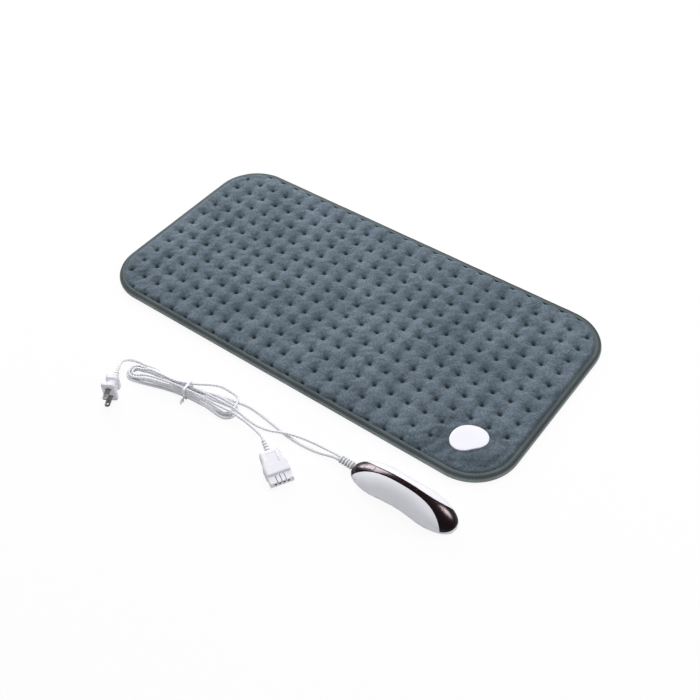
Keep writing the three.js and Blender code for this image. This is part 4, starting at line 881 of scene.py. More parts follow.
def tuft_places():
    """Tufts on their lattice, and the pinched places where the outer rows meet the binding."""
    inner = []
    edge = []
    for column in range(TUFT_COLUMNS):
        for row in range(-1, TUFT_ROWS + 1):
            x = (column - (TUFT_COLUMNS - 1) / 2) * TUFT_PITCH_X
            y = (row - (TUFT_ROWS - 1) / 2) * TUFT_PITCH_Y
            inset = edge_inset(np.array(x), np.array(y))
            flat = x > PATCH_START_X and y < PATCH_START_Y
            if inset > TUFT_INSET and not flat:
                inner.append((x, y))
            elif inset > EDGE_TUFT_INSET and not flat:
                edge.append((x, y))
    return np.array(inner), np.array(edge)


def plate_reach(angle):
    wave = PLATE_STRETCH * math.cos(2 * (angle - math.pi / 2))
    corner = PLATE_CORNERS * math.cos(3 * (angle - math.pi / 2 - PLATE_CORNER_TURN))
    return PLATE_RADIUS + wave + corner


PLATE_SIDES = 96


def plate_outline(inset, count=PLATE_SIDES):
    """The socket plate's plan outline in the socket's own frame."""
    rays = [(angle, plate_reach(angle) - inset) for angle in turns(count)]
    return [(reach * math.cos(angle), reach * math.sin(angle)) for angle, reach in rays]


def plate_inset(x, y):
    """Distance in from the plate's outline, for arrays of places on the pad."""
    local = placed(SOCKET.inverted(), [(a, b, 0) for a, b in zip(x, y)])
    return np.array([plate_reach(math.atan2(p.y, p.x)) - math.hypot(p.x, p.y) for p in local])


PLACE_DIGITS = 5
NO_TUFT_NEAR = 1.0


def rounded_place(x, y):
    return round(x, PLACE_DIGITS), round(y, PLACE_DIGITS)


TUFTS, EDGE_TUFTS = tuft_places()
PITS = {rounded_place(x, y) for x, y in np.concatenate([TUFTS, EDGE_TUFTS])}


def tuft_distance(x, y):
    """Distance to the nearest tuft and the turn round it."""
    column = np.round(x / TUFT_PITCH_X - 0.5) + 0.5
    row = np.round(y / TUFT_PITCH_Y)
    near_x = column * TUFT_PITCH_X
    near_y = row * TUFT_PITCH_Y
    has = np.array([rounded_place(a, b) in PITS for a, b in zip(near_x, near_y)])
    distance = np.where(has, np.hypot(x - near_x, y - near_y), NO_TUFT_NEAR)
    return distance, np.arctan2(y - near_y, x - near_x)


DOME_POWER = 0.6


def resting_height(x, y, fullness):
    """Height of the cover before it is filled: pillows between tufts, a flat patch and a sewn edge."""
    from_column = np.sin(math.pi * (x / TUFT_PITCH_X - 0.5)) ** 2
    from_row = np.sin(math.pi * y / TUFT_PITCH_Y) ** 2
    puff = fullness * (PUFF_HEIGHT - SEAM_HEIGHT) * (from_column * from_row) ** DOME_POWER
    distance, _ = tuft_distance(x, y)
    pit = fade(distance, PIT_REACH, PIT_POWER)
    height = SEAM_HEIGHT + puff - (SEAM_HEIGHT - TUFT_HEIGHT) * pit
    flat = patch_share(x, y)
    height = height * (1 - flat) + PATCH_HEIGHT * flat
    risen = np.clip((edge_inset(x, y) - SEWN_INSET) / SHOULDER, 0.0, 1.0)
    shoulder = np.sqrt(1 - (1 - risen) ** 2)
    height = SEWN_HEIGHT + (height - SEWN_HEIGHT) * shoulder
    return np.where(edge_inset(x, y) < SEWN_INSET, LIP_TOP, height)


# Filling of the cover: cloth with a little to spare, blown up from below
CLOTH = {
    "quality": 6, "mass": 0.2, "tension_stiffness": 25, "compression_stiffness": 25, "shear_stiffness": 12,
    "bending_stiffness": 1.5, "air_damping": 4, "vertex_group_mass": "held", "use_pressure": True,
    "uniform_pressure_force": 2.5, "shrink_min": -0.015,
}
CLOTH_FRAMES = 20
CLOTH_CAP = 0.0010
START_FULLNESS = 0.6
COVER_INSET = 0.0042
COVER_LAP = 0.006
HELD_REACH = 0.0005
HELD_INSET = 0.0092
HELD_LAP = -0.001


def plush_lattice(cells, is_kept):
    """Places and faces of a lattice that has every tuft on a point, without the points that aren't kept."""
    lines = []
    for pitch, half in ((TUFT_PITCH_X, PAD_LENGTH / 2), (TUFT_PITCH_Y, PAD_WIDTH / 2)):
        count = int(half * cells / pitch)
        lines.append(np.arange(-count, count + 1) * (pitch / cells))
    x, y = (places.ravel() for places in np.meshgrid(*lines))
    kept = is_kept(x, y)
    faces = [face for face in lattice(len(lines[1]), len(lines[0])) if all(kept[k] for k in face)]
    used = sorted({corner for face in faces for corner in face})
    number = {old: new for new, old in enumerate(used)}
    return x[used], y[used], [tuple(number[corner] for corner in face) for face in faces]


def on_cover(x, y):
    return (edge_inset(x, y) > COVER_INSET) & (plate_inset(x, y) < COVER_LAP)


def cover_sheet():
    """Sheet of the top cover with a hole under the plate, and its points that the sewing holds."""
    x, y, faces = plush_lattice(CELLS_PER_TUFT, on_cover)
    z = resting_height(x, y, START_FULLNESS)
    sheet = add_mesh("tufted_cover", np.stack([x, y, z], axis=1), faces, finishes["plush"])
    distance, _ = tuft_distance(x, y)
    held = (distance < HELD_REACH) | (edge_inset(x, y) < HELD_INSET) | (plate_inset(x, y) > HELD_LAP)
    return sheet, [int(k) for k in np.nonzero(held)[0]]


def fill_with_air(sheet, held):
    """Cloth held at its tufts and edge, puffed up from below and kept near its first place."""
    before = point_places(sheet)
    sheet.vertex_groups.new(name="held").add(held, 1.0, "REPLACE")
    cloth = add_step(sheet, "fill", "CLOTH")
    set_up(cloth.settings, CLOTH)
    cloth.settings.effector_weights.gravity = 0
    cloth.collision_settings.use_collision = False
    set_up(cloth.point_cache, {"frame_start": 1, "frame_end": CLOTH_FRAMES})
    scene = bpy.context.scene
    for number in range(1, CLOTH_FRAMES + 1):
        scene.frame_set(number)
    bake(sheet)
    scene.frame_set(1)
    sheet.vertex_groups.clear()
    moved = np.clip(point_places(sheet) - before, -CLOTH_CAP, CLOTH_CAP)
    move_points(sheet, before + moved)


def subdivided(piece):
    add_step(piece, "finer", "SUBSURF", levels=1, render_levels=1)
    return bake(piece)


# Pile of the cover; the rows of its noise are the scale, the layer and the height
ROLL_GAP = 0.008
ROLL_LOST_ON_PATCH = 0.7
SLOPE_STEP = 0.0001
# Painted slope shade: the direction away from the lamps, its strength by tilt and its extra on the patch
AWAY_FROM_LAMPS = np.array((0.98, -0.2, 0.0))
SHADE_BY_TILT = 0.68
PATCH_SHADE = 0.2
PIT_DEEPER = 0.0016
PIT_DEEPER_REACH = 0.0024
FOLDS_PER_TUFT = 4
FOLD_HEIGHT = 0.00035
FOLD_RING = 0.0052
FOLD_REACH = 0.003
FOLD_SEEDS = (1.7, 2.3)
PILE_NOISE = ((150, 0, 0.00045), (460, 7, 0.00028), (22, 3, 0.0007))
PILE_LOST_ON_PATCH = 0.6
PILE_START = 0.004
PILE_FLOOR = COVER_FLOOR + 0.0003
TUFT_PIT_PAINTED_SHADE = 0.0029


def roll_over(x, y):
    """Moves the plush between the outer tufts outwards, so that it bulges over the binding."""
    step = SLOPE_STEP
    slope_x = (edge_inset(x + step, y) - edge_inset(x - step, y)) / (2 * step)
    slope_y = (edge_inset(x, y + step) - edge_inset(x, y - step)) / (2 * step)
    rolled = np.clip((edge_inset(x, y) - SEWN_INSET) / ROLL_REACH, 0.0, 1.0)
    distance, _ = tuft_distance(x, y)
    between = (1 - fade(distance, ROLL_GAP)) * (1 - ROLL_LOST_ON_PATCH * patch_share(x, y))
    out = ROLL_OUT * np.sin(math.pi * np.sqrt(rolled)) * between
    return x - slope_x * out, y - slope_y * out


def painted_slope_shade(mesh, x, y):
    """Painted light and shade: low on slopes that face the lamps, high on those facing away and on the patch
    round the socket.
    """
    normals = np.zeros(3 * len(mesh.vertices), np.float32)
    mesh.vertex_normals.foreach_get("vector", normals)
    tilt = normals.reshape(-1, 3) @ AWAY_FROM_LAMPS
    return np.clip(0.5 + SHADE_BY_TILT * tilt + PATCH_SHADE * patch_share(x, y), 0.0, 1.0)


def pile_noise(x, y):
    """Clumps, fibres and long swells of the pile."""
    height = np.zeros(len(x))
    for scale, layer, most in PILE_NOISE:
        height += most * np.array([noise.noise(Vector((scale * a, scale * b, layer))) for a, b in zip(x, y)])
    return height


def pile_detail(piece):
    """Deepens the tufts, gathers small folds round them and lays clumps of pile over the cover."""
    x, y, z = point_places(piece).T
    distance, turn = tuft_distance(x, y)
    columns = np.round(x / TUFT_PITCH_X - 0.5)
    rows = np.round(y / TUFT_PITCH_Y)
    seeds = columns * FOLD_SEEDS[0] + rows * FOLD_SEEDS[1]
    folds = np.cos(FOLDS_PER_TUFT * turn + seeds) * fade(distance - FOLD_RING, FOLD_REACH)
    z = z - PIT_DEEPER * fade(distance, PIT_DEEPER_REACH) + FOLD_HEIGHT * folds
    free = smooth_step(SEWN_INSET, SEWN_INSET + PILE_START, edge_inset(x, y))
    z = z + free * (1 - PILE_LOST_ON_PATCH * patch_share(x, y)) * pile_noise(x, y)
    move_points(piece, np.stack([*roll_over(x, y), np.maximum(z, PILE_FLOOR)], axis=1))
    # Painted shade in the tuft pits
    add_shade(piece, "tuft", fade(distance, TUFT_PIT_PAINTED_SHADE))
    # Painted light and shade on the slopes by how they face the lamps
    add_shade(piece, "slope_shade", painted_slope_shade(piece.data, x, y))


def close_below(piece, floor):
    """Walls down from every open edge and a flat underside."""
    def close(shape):
        rim = [edge for edge in shape.edges if edge.is_boundary]
        made = bmesh.ops.extrude_edge_only(shape, edges=rim)["geom"]
        for vertex in made:
            if isinstance(vertex, bmesh.types.BMVert):
                vertex.co.z = floor
        low = [edge for edge in made if isinstance(edge, bmesh.types.BMEdge) and edge.is_boundary]
        bmesh.ops.triangle_fill(shape, edges=low, use_beauty=True)
        bmesh.ops.recalc_face_normals(shape, faces=shape.faces)

    reshape(piece, close)


def make_cover():
    cover, held = cover_sheet()
    fill_with_air(cover, held)
    subdivided(cover)
    pile_detail(cover)
    close_below(cover, COVER_FLOOR)
    cover.data.shade_smooth()
    dress(cover, "plush", "top_cover")


make_cover()


# Underside of the pad
UNDER_CELLS = 4
UNDER_INSET = 0.0056
UNDER_LIFT = 0.0021
UNDER_CURL = (0.0125, 0.0085)
DIMPLE = 0.0011
DIMPLE_REACH = 0.0032
DIMPLE_PAINTED_SHADE = 0.0026
SOCKET_HOLE_INSET = 0.0041
SOCKET_HOLE_SIDES = 48
HOLE_REACH = 0.01


def on_under_cover(x, y):
    return edge_inset(x, y) > UNDER_INSET


def make_under_cover():
    """Underside of the pad: flat on the floor, dimpled at the tufts, cut open for the socket."""
    x, y, faces = plush_lattice(UNDER_CELLS, on_under_cover)
    z = UNDER_LIFT * smooth_step(*UNDER_CURL, edge_inset(x, y))
    faces = [face[::-1] for face in faces]
    under = subdivided(add_mesh("under_cover", np.stack([x, y, z], axis=1), faces, finishes["plush"]))
    places = point_places(under)
    distance, _ = tuft_distance(*places.T[:2])
    places[:, 2] += DIMPLE * fade(distance, DIMPLE_REACH)
    move_points(under, places)
    close_below(under, UNDER_TOP)
    side = WELL_WIDTH / 2
    plans = {
        "socket_hole": plate_outline(SOCKET_HOLE_INSET, SOCKET_HOLE_SIDES),
        "connector_well": [(0, -side), (WELL_LENGTH, -side), (WELL_LENGTH, side), (0, side)],
    }
    cut(under, *(prism(name, plan, -HOLE_REACH, HOLE_REACH, SOCKET) for name, plan in plans.items()))
    distance, _ = tuft_distance(*point_places(under).T[:2])
    # Painted shade in the underside's dimples
    add_shade(under, "tuft", fade(distance, DIMPLE_PAINTED_SHADE))
    # No painted slope light or shade on the underside
    add_shade(under, "slope_shade", np.full(len(distance), 0.5))
    crisp(under, degrees=50)
    dress(under, "plush", "bottom_cover")


make_under_cover()


# Binding tape
# Rows of inset, height and painted light and shade: 0 in the stitch grooves, 1 on the outer fold
TAPE_PROFILE = [
    (0.0082, 0.0079, 0.3), (0.0083, 0.0086, 0.5), (0.0081, 0.0093, 0.6), (0.0074, 0.0095, 0.6),
    (0.0060, 0.0095, 0.55), (0.0046, 0.0094, 0.45), (0.0038, 0.0091, 0.15), (0.0030, 0.0087, 0.0),
    (0.0022, 0.0087, 0.0), (0.0014, 0.0086, 0.4), (0.0007, 0.0079, 0.85), (0.0002, 0.0066, 1.0),
    (0.0, 0.0050, 1.0), (0.0002, 0.0036, 1.0), (0.0007, 0.0022, 0.9), (0.0018, 0.0011, 0.6),
    (0.0034, 0.0006, 0.45), (0.0052, 0.0005, 0.4), (0.0064, 0.0008, 0.0), (0.0076, 0.0006, 0.5),
    (0.0082, 0.0010, 0.5), (0.0082, 0.0021, 0.2), (0.0026, 0.0022, 0.2), (0.0024, 0.0078, 0.2),
]
TAPE_STEPS = (32, (180, 80))
TAPE_RIPPLE = 0.00022
RIPPLE_SCALE = 70
RIPPLE_ACROSS = 40
TAPE_SWAY = 0.0003
SWAY_SCALE = 9
SWAY_LAYER = 5
TAPE_LOOSE_ABOVE = 0.005
TAPE_MIDDLE = 0.004


def make_binding():
    """Folded tape from (inset, height, painted light and shade) rows, led round the pad's edge."""
    rings = [outline(inset, height, *TAPE_STEPS) for inset, height, _ in TAPE_PROFILE]
    points = []
    for spots in zip(*rings):
        for (x, y, z), (inset, height, _) in zip(spots, TAPE_PROFILE):
            small = Vector((RIPPLE_SCALE * x, RIPPLE_SCALE * y, RIPPLE_ACROSS * inset))
            large = Vector((SWAY_SCALE * x, SWAY_SCALE * y, SWAY_LAYER))
            wave = noise.noise(small) * TAPE_RIPPLE + noise.noise(large) * TAPE_SWAY
            lifted = 1.0 if height > TAPE_LOOSE_ABOVE else 0.0
            points.append((x, y, z + wave * lifted))
    count = len(rings[0])
    across = len(TAPE_PROFILE)
    tape = add_mesh("edge_tape", points, lattice(count, across, wrap=True, closed=True), finishes["tape"])
    middle = np.array(outline(TAPE_MIDDLE, 0.0, *TAPE_STEPS))
    steps = np.linalg.norm(np.roll(middle, -1, axis=0) - middle, axis=1)
    run = np.concatenate([[0.0], np.cumsum(steps)])
    layer = tape.data.uv_layers.new(name="UVMap")
    for face in tape.data.polygons:
        ring = face.index // across
        for loop in face.loop_indices:
            spot, j = divmod(tape.data.loops[loop].vertex_index, across)
            along = run[ring] if spot == ring else run[ring + 1]
            layer.data[loop].uv = (j / across, along)
    add_shade(tape, "light_shade", np.tile([light_shade for _, _, light_shade in TAPE_PROFILE], count))
    outward(tape)
    dress(tape, "binding_tape", "edge_binding")


make_binding()


# Stitches by Geometry Nodes
def stitch_tree():
    """Stitches at an even pitch along every edge line of a mesh."""
    tree = bpy.data.node_groups.new("stitch_row", "GeometryNodeTree")
    sockets = {"Geometry": "NodeSocketGeometry"}
    sockets.update((name, "NodeSocketFloat") for name in ("Pitch", "Length", "Width", "Height"))
    sockets["Thread"] = "NodeSocketMaterial"
    for name, kind in sockets.items():
        tree.interface.new_socket(name, in_out="INPUT", socket_type=kind)
    tree.interface.new_socket("Geometry", in_out="OUTPUT", socket_type="NodeSocketGeometry")

    def made(kind, inputs, **settings):
        return add_node(tree, kind, inputs, **settings).outputs[0]

    given = add_node(tree, "NodeGroupInput").outputs
    line = made("GeometryNodeMeshToCurve", {"Mesh": given["Geometry"]})
    spaced = made("GeometryNodeResampleCurve", {"Curve": line, "Length": given["Pitch"]}, mode="LENGTH")
    ball = made("GeometryNodeMeshUVSphere", {"Segments": 8, "Rings": 5, "Radius": 0.5})
    sizes = {"X": given["Length"], "Y": given["Width"], "Z": given["Height"]}
    size = made("ShaderNodeCombineXYZ", sizes)
    tangent = made("GeometryNodeInputTangent", {})
    turn = made("FunctionNodeAlignRotationToVector", {"Vector": tangent}, axis="X")
    spots = {"Points": spaced, "Instance": ball, "Rotation": turn, "Scale": size}
    stitches = made("GeometryNodeInstanceOnPoints", spots)
    real = made("GeometryNodeRealizeInstances", {"Geometry": stitches})
    smooth = made("GeometryNodeSetShadeSmooth", {"Geometry": real})
    sewn = made("GeometryNodeSetMaterial", {"Geometry": smooth, "Material": given["Thread"]})
    add_node(tree, "NodeGroupOutput", {"Geometry": sewn})
    return tree


def grow(piece, tree, values):
    """Runs a node tree on a piece with the given inputs and keeps the plain mesh."""
    step = add_step(piece, "grow", "NODES", node_group=tree)
    for item in tree.interface.items_tree:
        if item.in_out == "INPUT" and item.name in values:
            step[item.identifier] = values[item.name]
    return bake(piece)


def line_piece(name, lines):
    """Mesh of edge lines, each a list of points; a closed line repeats its first point."""
    points = []
    edges = []
    for line in lines:
        start = len(points)
        closed = line[0] == line[-1]
        own = line[:-1] if closed else line
        points.extend(own)
        edges.extend((start + k, start + k + 1) for k in range(len(own) - 1))
        if closed:
            edges.append((start + len(own) - 1, start))
    mesh = bpy.data.meshes.new(name)
    mesh.from_pydata([tuple(p) for p in points], edges, [])
    return add_object(name, mesh)


STITCH_ROW = stitch_tree()
SEAM_STITCH = {"Pitch": 0.0034, "Length": 0.0027, "Width": 0.0007, "Height": 0.0006}
SEAM_LINES = ((0.0027, TAPE_TOP - 0.0007), (0.0064, TAPE_FLOOR + 0.0003))
TUFT_STITCH = {"Pitch": 0.0011, "Length": 0.0014, "Width": 0.0005, "Height": 0.0005}
CROSS_TURN = 0.7
CROSS_REACH = 0.0011
CROSS_SINK = 0.0009


def make_stitches():
    """Rows round the tape from (inset, height) lines, and a cross in every tuft."""
    rows = [outline(inset, height) for inset, height in SEAM_LINES]
    seam = line_piece("tape_stitches", [[*row, row[0]] for row in rows])
    grow(seam, STITCH_ROW, {**SEAM_STITCH, "Thread": finishes["tape_thread"]})
    dress(seam, "binding_tape")
    crosses = []
    for x, y in TUFTS:
        middle = Vector((x, y, TUFT_HEIGHT - CROSS_SINK))
        for turn in (CROSS_TURN, CROSS_TURN + math.pi / 2):
            reach = Vector((math.cos(turn), math.sin(turn), 0)) * CROSS_REACH
            crosses.append([tuple(middle - reach), tuple(middle + reach)])
    tufts = line_piece("tuft_stitches", crosses)
    grow(tufts, STITCH_ROW, {**TUFT_STITCH, "Thread": finishes["tuft_thread"]})
    dress(tufts, "plush")


make_stitches()


# Socket plate: its edge is rows of an inset and a drop below the top
PLATE_EDGE = ((0.0, 0.0008), (0.0001, 0.0005), (0.0003, 0.0002), (0.0007, 0.00006), (0.0012, 0.0))
PLATE_RINGS = (0.004, 0.008, 0.012, 0.016)


def make_plate():
    """Cover plate with a rounded edge and a slight crown."""
    levels = [(0.0, PLATE_FLOOR), *((inset, PLATE_TOP - drop) for inset, drop in PLATE_EDGE)]
    for inset in PLATE_RINGS:
        rise = PLATE_CROWN * (1 - (1 - inset / PLATE_RADIUS) ** 2)
        levels.append((inset, PLATE_TOP + rise))
    points = []
    for inset, height in levels:
        points.extend(placed(SOCKET, [(x, y, height) for x, y in plate_outline(inset)]))
    plate = outward(add_mesh("socket_cap", points, tube(len(levels), PLATE_SIDES), finishes["white"]))
    dress(crisp(plate, degrees=60), "white_plastic", "socket_plate")


make_plate()


# Controller skin: share runs from -1 at the cord end to 1 at the far end
def end_round(share, power):
    return max(1 - abs(share) ** power, 0.0) ** (1 / power)


def equator(share):
    return EQUATOR_ENDS + EQUATOR_ARCH * (1 - share * share)


def crown_rise(share):
    return (CROWN_ENDS + CROWN_ARCH * (1 - share * share)) * end_round(share, CROWN_POWER)


def under_drop(share):
    floor = max(UNDER_ARCH * (1 - (share / UNDER_REACH) ** 2), 0.0) - FLOOR_FLAT
    return (equator(share) - floor) * end_round(share, 2 * CROWN_POWER)


def half_width(share):
    plan = end_round(share, CORD_PLAN_POWER if share < 0 else FAR_PLAN_POWER)
    grip = max(1 - ((share - GRIP_CENTRE) / GRIP_REACH) ** 2, 0.0) ** 2
    return HALF_WIDTH * (1 + TAPER * share) * plan - GRIP_DEPTH * grip


def band_half(share):
    return BAND_WAIST + BAND_FLARE * abs(share) ** BAND_POWER * (1 + BAND_LEAN * share)


def band_fill(share):
    """How much of the body's half width the dark band takes up."""
    return band_half(share) / max(half_width(share), TINY)


def skin_point(share, level, side):
    """Point of the outer skin: level 0 on the crown, 1 on the equator, 2 under the middle."""
    half = half_width(share)
    if level <= 1:
        angle = level * math.pi / 2
        across = half * math.sin(angle)
        z = equator(share) + crown_rise(share) * math.cos(angle)
    else:
        angle = (level - 1) * math.pi / 2
        across = half * max(math.cos(angle), 0.0) ** (2 / UNDER_POWER)
        z = equator(share) - under_drop(share) * math.sin(angle) ** (2 / UNDER_POWER)
    return CONTROLLER @ Vector(((share + 1) * CONTROLLER_LENGTH / 2, side * across, max(z, 0.0)))


def rim_level(share):
    """Level at which the skin stands at the rim's height."""
    over = RIM_HEIGHT - equator(share)
    if over >= 0:
        return 2 / math.pi * math.acos(min(over / max(crown_rise(share), TINY), 1.0))
    sunk = min(-over / max(under_drop(share), TINY), 1.0)
    return 1 + 2 / math.pi * math.asin(sunk ** (UNDER_POWER / 2))


SEAM_PASSES = (0.985, 1.03)
SEAM_NEAR = (0.94, 1.06)
SEAM_SCAN = (-0.999, 0.999, 4001)
STATION_COUNT = 150
STATION_END = 0.9992
STATION_GAP = 0.0008
LEAST_GIRTH = 0.004
SHELL_EDGE = 0.00022


def seam_level(share):
    """Level of the seam between the dark band and the white cheeks."""
    fill = band_fill(share)
    on_top = 2 / math.pi * math.asin(min(fill, 1.0))
    passed = float(smooth_step(*SEAM_PASSES, fill))
    return on_top + (rim_level(share) - on_top) * passed


def stations():
    """Shares along the body, closer at the ends and where the seam turns down."""
    steps = [2 * k / STATION_COUNT - 1 for k in range(STATION_COUNT + 1)]
    shares = [math.sin(math.pi / 2 * step) * STATION_END for step in steps]
    for share in np.linspace(*SEAM_SCAN):
        if SEAM_NEAR[0] < band_fill(share) < SEAM_NEAR[1]:
            shares.append(float(share))
    shares = sorted(shares)
    spaced = [shares[0]]
    for share in shares[1:]:
        if share - spaced[-1] > STATION_GAP:
            spaced.append(share)
    return spaced


def face_up(shape):
    """Turns the faces of an open skin to the side that its highest face has above it."""
    bmesh.ops.remove_doubles(shape, verts=shape.verts, dist=2 * CLOSE)
    bmesh.ops.recalc_face_normals(shape, faces=shape.faces)
    highest = max(shape.faces, key=lambda face: face.calc_center_median().z)
    if highest.normal.z < 0:
        bmesh.ops.reverse_faces(shape, faces=shape.faces)


def add_bevel(piece, width, segments, degrees, **settings):
    edge = add_step(piece, "edge", "BEVEL", width=width, segments=segments, **settings)
    edge.limit_method = "ANGLE"
    edge.angle_limit = math.radians(degrees)


def shell_piece(name, levels_at, material):
    """Skin over the stations with a wall inside it; levels_at gives (level, side, dip) rows across."""
    points = []
    for share in stations():
        for level, side, dip in levels_at(share):
            points.append(skin_point(share, level, side) - Vector((0, 0, dip)))
    columns = len(levels_at(0.0))
    shell = reshape(add_mesh(name, points, lattice(len(points) // columns, columns), material), face_up)
    add_step(shell, "wall", "SOLIDIFY", thickness=SHELL_WALL, offset=-1)
    add_bevel(shell, SHELL_EDGE, segments=2, degrees=55)
    return bake(shell)


def girth(share):
    return half_width(share) + crown_rise(share)


def seam_gap(share):
    return SEAM / max(girth(share), LEAST_GIRTH)


def band_levels(share, steps=20):
    """Rows across the dark band, closer at its edges, which are rounded down into the seam."""
    reach = max(seam_level(share) - seam_gap(share), 0.0)
    arc = reach * math.pi / 4 * girth(share)
    rows = []
    for k in range(-steps, steps + 1):
        across = math.sin(math.pi / 2 * abs(k) / steps)
        rolled = 1 - min((1 - across) * arc / EDGE_ROUND, 1.0)
        dip = EDGE_DIP * (1 - math.sqrt(1 - rolled * rolled))
        rows.append((across * reach, 1 if k >= 0 else -1, dip))
    return rows


def cheek_levels(share, steps=18):
    start = min(seam_level(share) + seam_gap(share), 2.0)
    one_side = [start + (2 - start) * k / steps for k in range(steps + 1)]
    return [(level, 1, 0.0) for level in one_side] + [(level, -1, 0.0) for level in one_side[-2::-1]]


def crown_height(along, across):
    share = 2 * along / CONTROLLER_LENGTH - 1
    fill = min(abs(across) / half_width(share), 1.0)
    return equator(share) + crown_rise(share) * math.sqrt(1 - fill * fill)


# Keys: the rows of the cap are a share of its plan and how far it sinks there
KEYS = {"heat": (HEAT_KEY_AT, HEAT_KEY_SIZE), "power": (POWER_KEY_AT, POWER_KEY_SIZE)}
KEY_CAP = ((0.02, 0.0), (0.3, 0.0), (0.6, 0.0), (0.9, 0.00001), (0.96, 0.00005), (1.0, 0.00018))
KEY_SIDES = 64
STEM_RADIUS = 0.0018
STEM_STEP = 0.0002
PIPE_SIDES = 24
HOLE_FLOOR = 0.012
HOLE_TOP = 0.05


def key_outline(at, size, margin=0.0, count=KEY_SIDES):
    """Stadium outline of a key on the crown."""
    radius = size[1] / 2 + margin
    reach = size[0] / 2 - size[1] / 2
    points = []
    for angle in turns(count, 0.5):
        shift = reach if math.cos(angle) > 0 else -reach
        points.append((at + shift + radius * math.cos(angle), radius * math.sin(angle)))
    return points


def key_piece(name, at, size, material):
    """Key cap that follows the crown, with a soft edge, a skirt and the stem that meets its plunger."""
    plan = key_outline(at, size)
    rings = []
    for share, sink in KEY_CAP:
        spots = [(at + (x - at) * share, y * share) for x, y in plan]
        rings.append([(x, y, crown_height(x, y) + KEY_PROUD - sink) for x, y in spots])
    rings.append([(x, y, crown_height(x, y) - KEY_DEPTH) for x, y in plan])
    stem = [(at + STEM_RADIUS * math.cos(a), STEM_RADIUS * math.sin(a)) for a in turns(KEY_SIDES)]
    for height in (crown_height(at, 0.0) - KEY_DEPTH - STEM_STEP, PLUNGER_TOP + STEM_GAP):
        rings.append([(x, y, height) for x, y in stem])
    points = placed(CONTROLLER, [spot for ring in rings for spot in ring])
    return crisp(outward(add_mesh(name, points, tube(len(rings), KEY_SIDES), material)), degrees=45)


def crown_hole(name, plan):
    return prism(name, plan, HOLE_FLOOR, HOLE_TOP, CONTROLLER)


def make_controller():
    band = shell_piece("dark_band", band_levels, finishes["gloss"])
    tools = [crown_hole("key_hole", key_outline(at, size, KEY_GAP)) for at, size in KEYS.values()]
    for at in PIPE_AT:
        tools.append(crown_hole("pipe_hole", key_outline(at, (PIPE_HOLE, PIPE_HOLE), 0, PIPE_SIDES)))
    cut(band, *tools)
    dress(crisp(welded(band), degrees=40), "dark_gloss", "controller_cover")
    cheeks = shell_piece("white_shell", cheek_levels, finishes["white"])
    dress(crisp(welded(cheeks), degrees=40), "white_plastic", "controller_base")
    for name, (at, size) in KEYS.items():
        cap = key_piece(f"{name}_cap", at, size, finishes["gloss"])
        dress(cap, "dark_gloss", f"{name}_key", body=f"{name}_button")


make_controller()


# Finishes of the CAD nodes that stay
def numbered(name, count):
    return [f"{name}_{k + 1}" for k in range(count)]


NODE_FINISHES = {
    "felt": ["felt_carrier"],
    "sleeve": ["heating_wire"],
    "black": [
        "thermal_cutout", "heat_switch", "power_switch", "heat_plunger", "power_plunger",
        "triac", "control_chip",
    ],
    "white": ["socket_base"],
    "satin_white": ["connector_body", "plug_body", "cord_tie"],
    "brass": numbered("socket_pin", 4) + numbered("connector_contact", 4),
    "steel": numbered("socket_screw", 2) + numbered("controller_screw", 2),
    "nickel": ["plug_blade_lower", "plug_blade_upper"],
    "laminate": ["circuit_board"],
    "pipe": numbered("light_pipe", 4),
    "amber": ["film_capacitor"],
    "ceramic": ["fuse"],
}
SOFTENED = {
    "connector_body": 0.0005, "plug_body": 0.0007, "plug_blade_lower": 0.0002, "plug_blade_upper": 0.0002,
}
NODE_WELD = 0.00001


def paint_nodes():
    for finish, names in NODE_FINISHES.items():
        for name in names:
            node = nodes[name]
            node.data.materials.clear()
            node.data.materials.append(finishes[finish])


def soften_edges():
    """Rounds the hard edges of the moulded plug and connector."""
    for name, width in SOFTENED.items():
        add_step(nodes[name], "weld", "WELD", merge_threshold=NODE_WELD)
        add_bevel(nodes[name], width, segments=3, degrees=40, harden_normals=True)


paint_nodes()
soften_edges()


# Light and floor
FILL_COLOUR = (0.95, 0.98, 1.0, 1.0)
FILL_LEVEL = 0.42
MIRROR_LEVEL = 0.06
FLOOR_REACH = 40
FLOOR_DROP = 0.0002
FLOOR_WHITE = 0.92
FLOOR_DIMMED = 0.7


def area_light(name, place, aim, width, height, watts, mirrored=True, lights=True):
    data = bpy.data.lights.new(name, "AREA")
    set_up(data, {"shape": "RECTANGLE", "size": width, "size_y": height, "energy": watts})
    lamp = add_object(name, data)
    lamp.location = place
    lamp.rotation_euler = (Vector(aim) - Vector(place)).to_track_quat("-Z", "Y").to_euler()
    lamp.visible_glossy = mirrored
    lamp.visible_diffuse = lights


def worked_out(tree, operation, first, second):
    return add_node(tree, "ShaderNodeMath", {0: first, 1: second}, operation=operation).outputs[0]


def ray_kinds(tree):
    """Two outputs: 1 for rays from the camera or through glass, and 1 for mirror rays."""
    rays = add_node(tree, "ShaderNodeLightPath").outputs
    seen = worked_out(tree, "MAXIMUM", rays["Is Camera Ray"], rays["Is Transmission Ray"])
    return seen, rays["Is Glossy Ray"]


def glow(tree, kind, colour, strength):
    return add_node(tree, kind, {"Color": colour, "Strength": strength}).outputs[0]


def shader_mix(tree, factor, first, second):
    return add_node(tree, "ShaderNodeMixShader", {0: factor, 1: first, 2: second}).outputs[0]


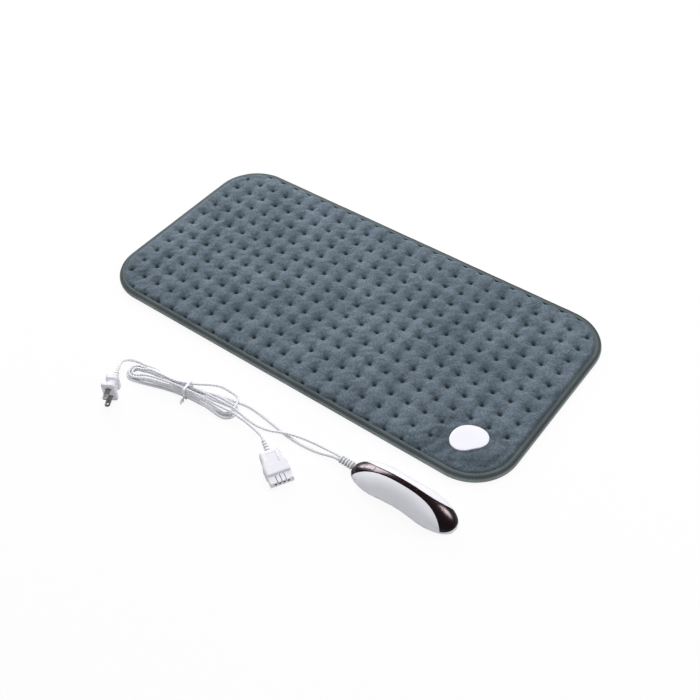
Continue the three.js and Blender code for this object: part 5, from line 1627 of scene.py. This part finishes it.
def make_world():
    """Even fill from all round, white where it is seen, and dim in mirror reflections."""
    world = bpy.data.worlds.new("studio")
    bpy.context.scene.world = world
    world.use_nodes = True
    tree = world.node_tree
    fill = glow(tree, "ShaderNodeBackground", FILL_COLOUR, FILL_LEVEL)
    dim = glow(tree, "ShaderNodeBackground", FILL_COLOUR, MIRROR_LEVEL)
    white = glow(tree, "ShaderNodeBackground", grey(1.0), 1.0)
    seen, mirrored = ray_kinds(tree)
    surface = shader_mix(tree, seen, shader_mix(tree, mirrored, fill, dim), white)
    feed(tree, tree.nodes["World Output"], {"Surface": surface})


def make_floor():
    """White sweep that keeps the object's soft shadow."""
    corners = ((-1, -1), (1, -1), (1, 1), (-1, 1))
    points = [(FLOOR_REACH * x, FLOOR_REACH * y, -FLOOR_DROP) for x, y in corners]
    matt = {"Specular IOR Level": 0.0}
    material, tree, shader = new_finish("pale_floor", grey(0.9), roughness=0.9, inputs=matt)
    dark = glow(tree, "ShaderNodeEmission", grey(1.0), 0.0)
    white = glow(tree, "ShaderNodeEmission", grey(1.0), 1.0)
    seen, mirrored = ray_kinds(tree)
    dimmed = worked_out(tree, "MULTIPLY", mirrored, FLOOR_DIMMED)
    whitened = worked_out(tree, "MULTIPLY", seen, FLOOR_WHITE)
    surface = shader_mix(tree, whitened, shader_mix(tree, dimmed, shader.outputs[0], dark), white)
    feed(tree, tree.nodes["Material Output"], {"Surface": surface})
    add_mesh("floor", points, [(0, 1, 2, 3)], material)


make_world()
make_floor()
area_light(
    "overhead_softbox", place=(-0.28, 0.61, 2.07), aim=(0.05, -0.05, 0.0),
    width=1.2, height=1.2, watts=22.5, mirrored=False,
)
area_light(
    "low_softbox", place=(-1.47, 0.90, 0.70), aim=(0.15, -0.18, 0.0),
    width=0.6, height=1.4, watts=18, mirrored=False,
)
area_light(
    "reflector", place=(-1.40, 0.85, 0.67), aim=(0.15, -0.18, 0.0),
    width=0.96, height=1.34, watts=30, lights=False,
)
area_light(
    "far_softbox", place=(1.27, 1.16, 1.04), aim=(0.22, -0.20, 0.02),
    width=0.57, height=0.57, watts=10,
)

bpy.context.scene.view_settings.view_transform = "Standard"
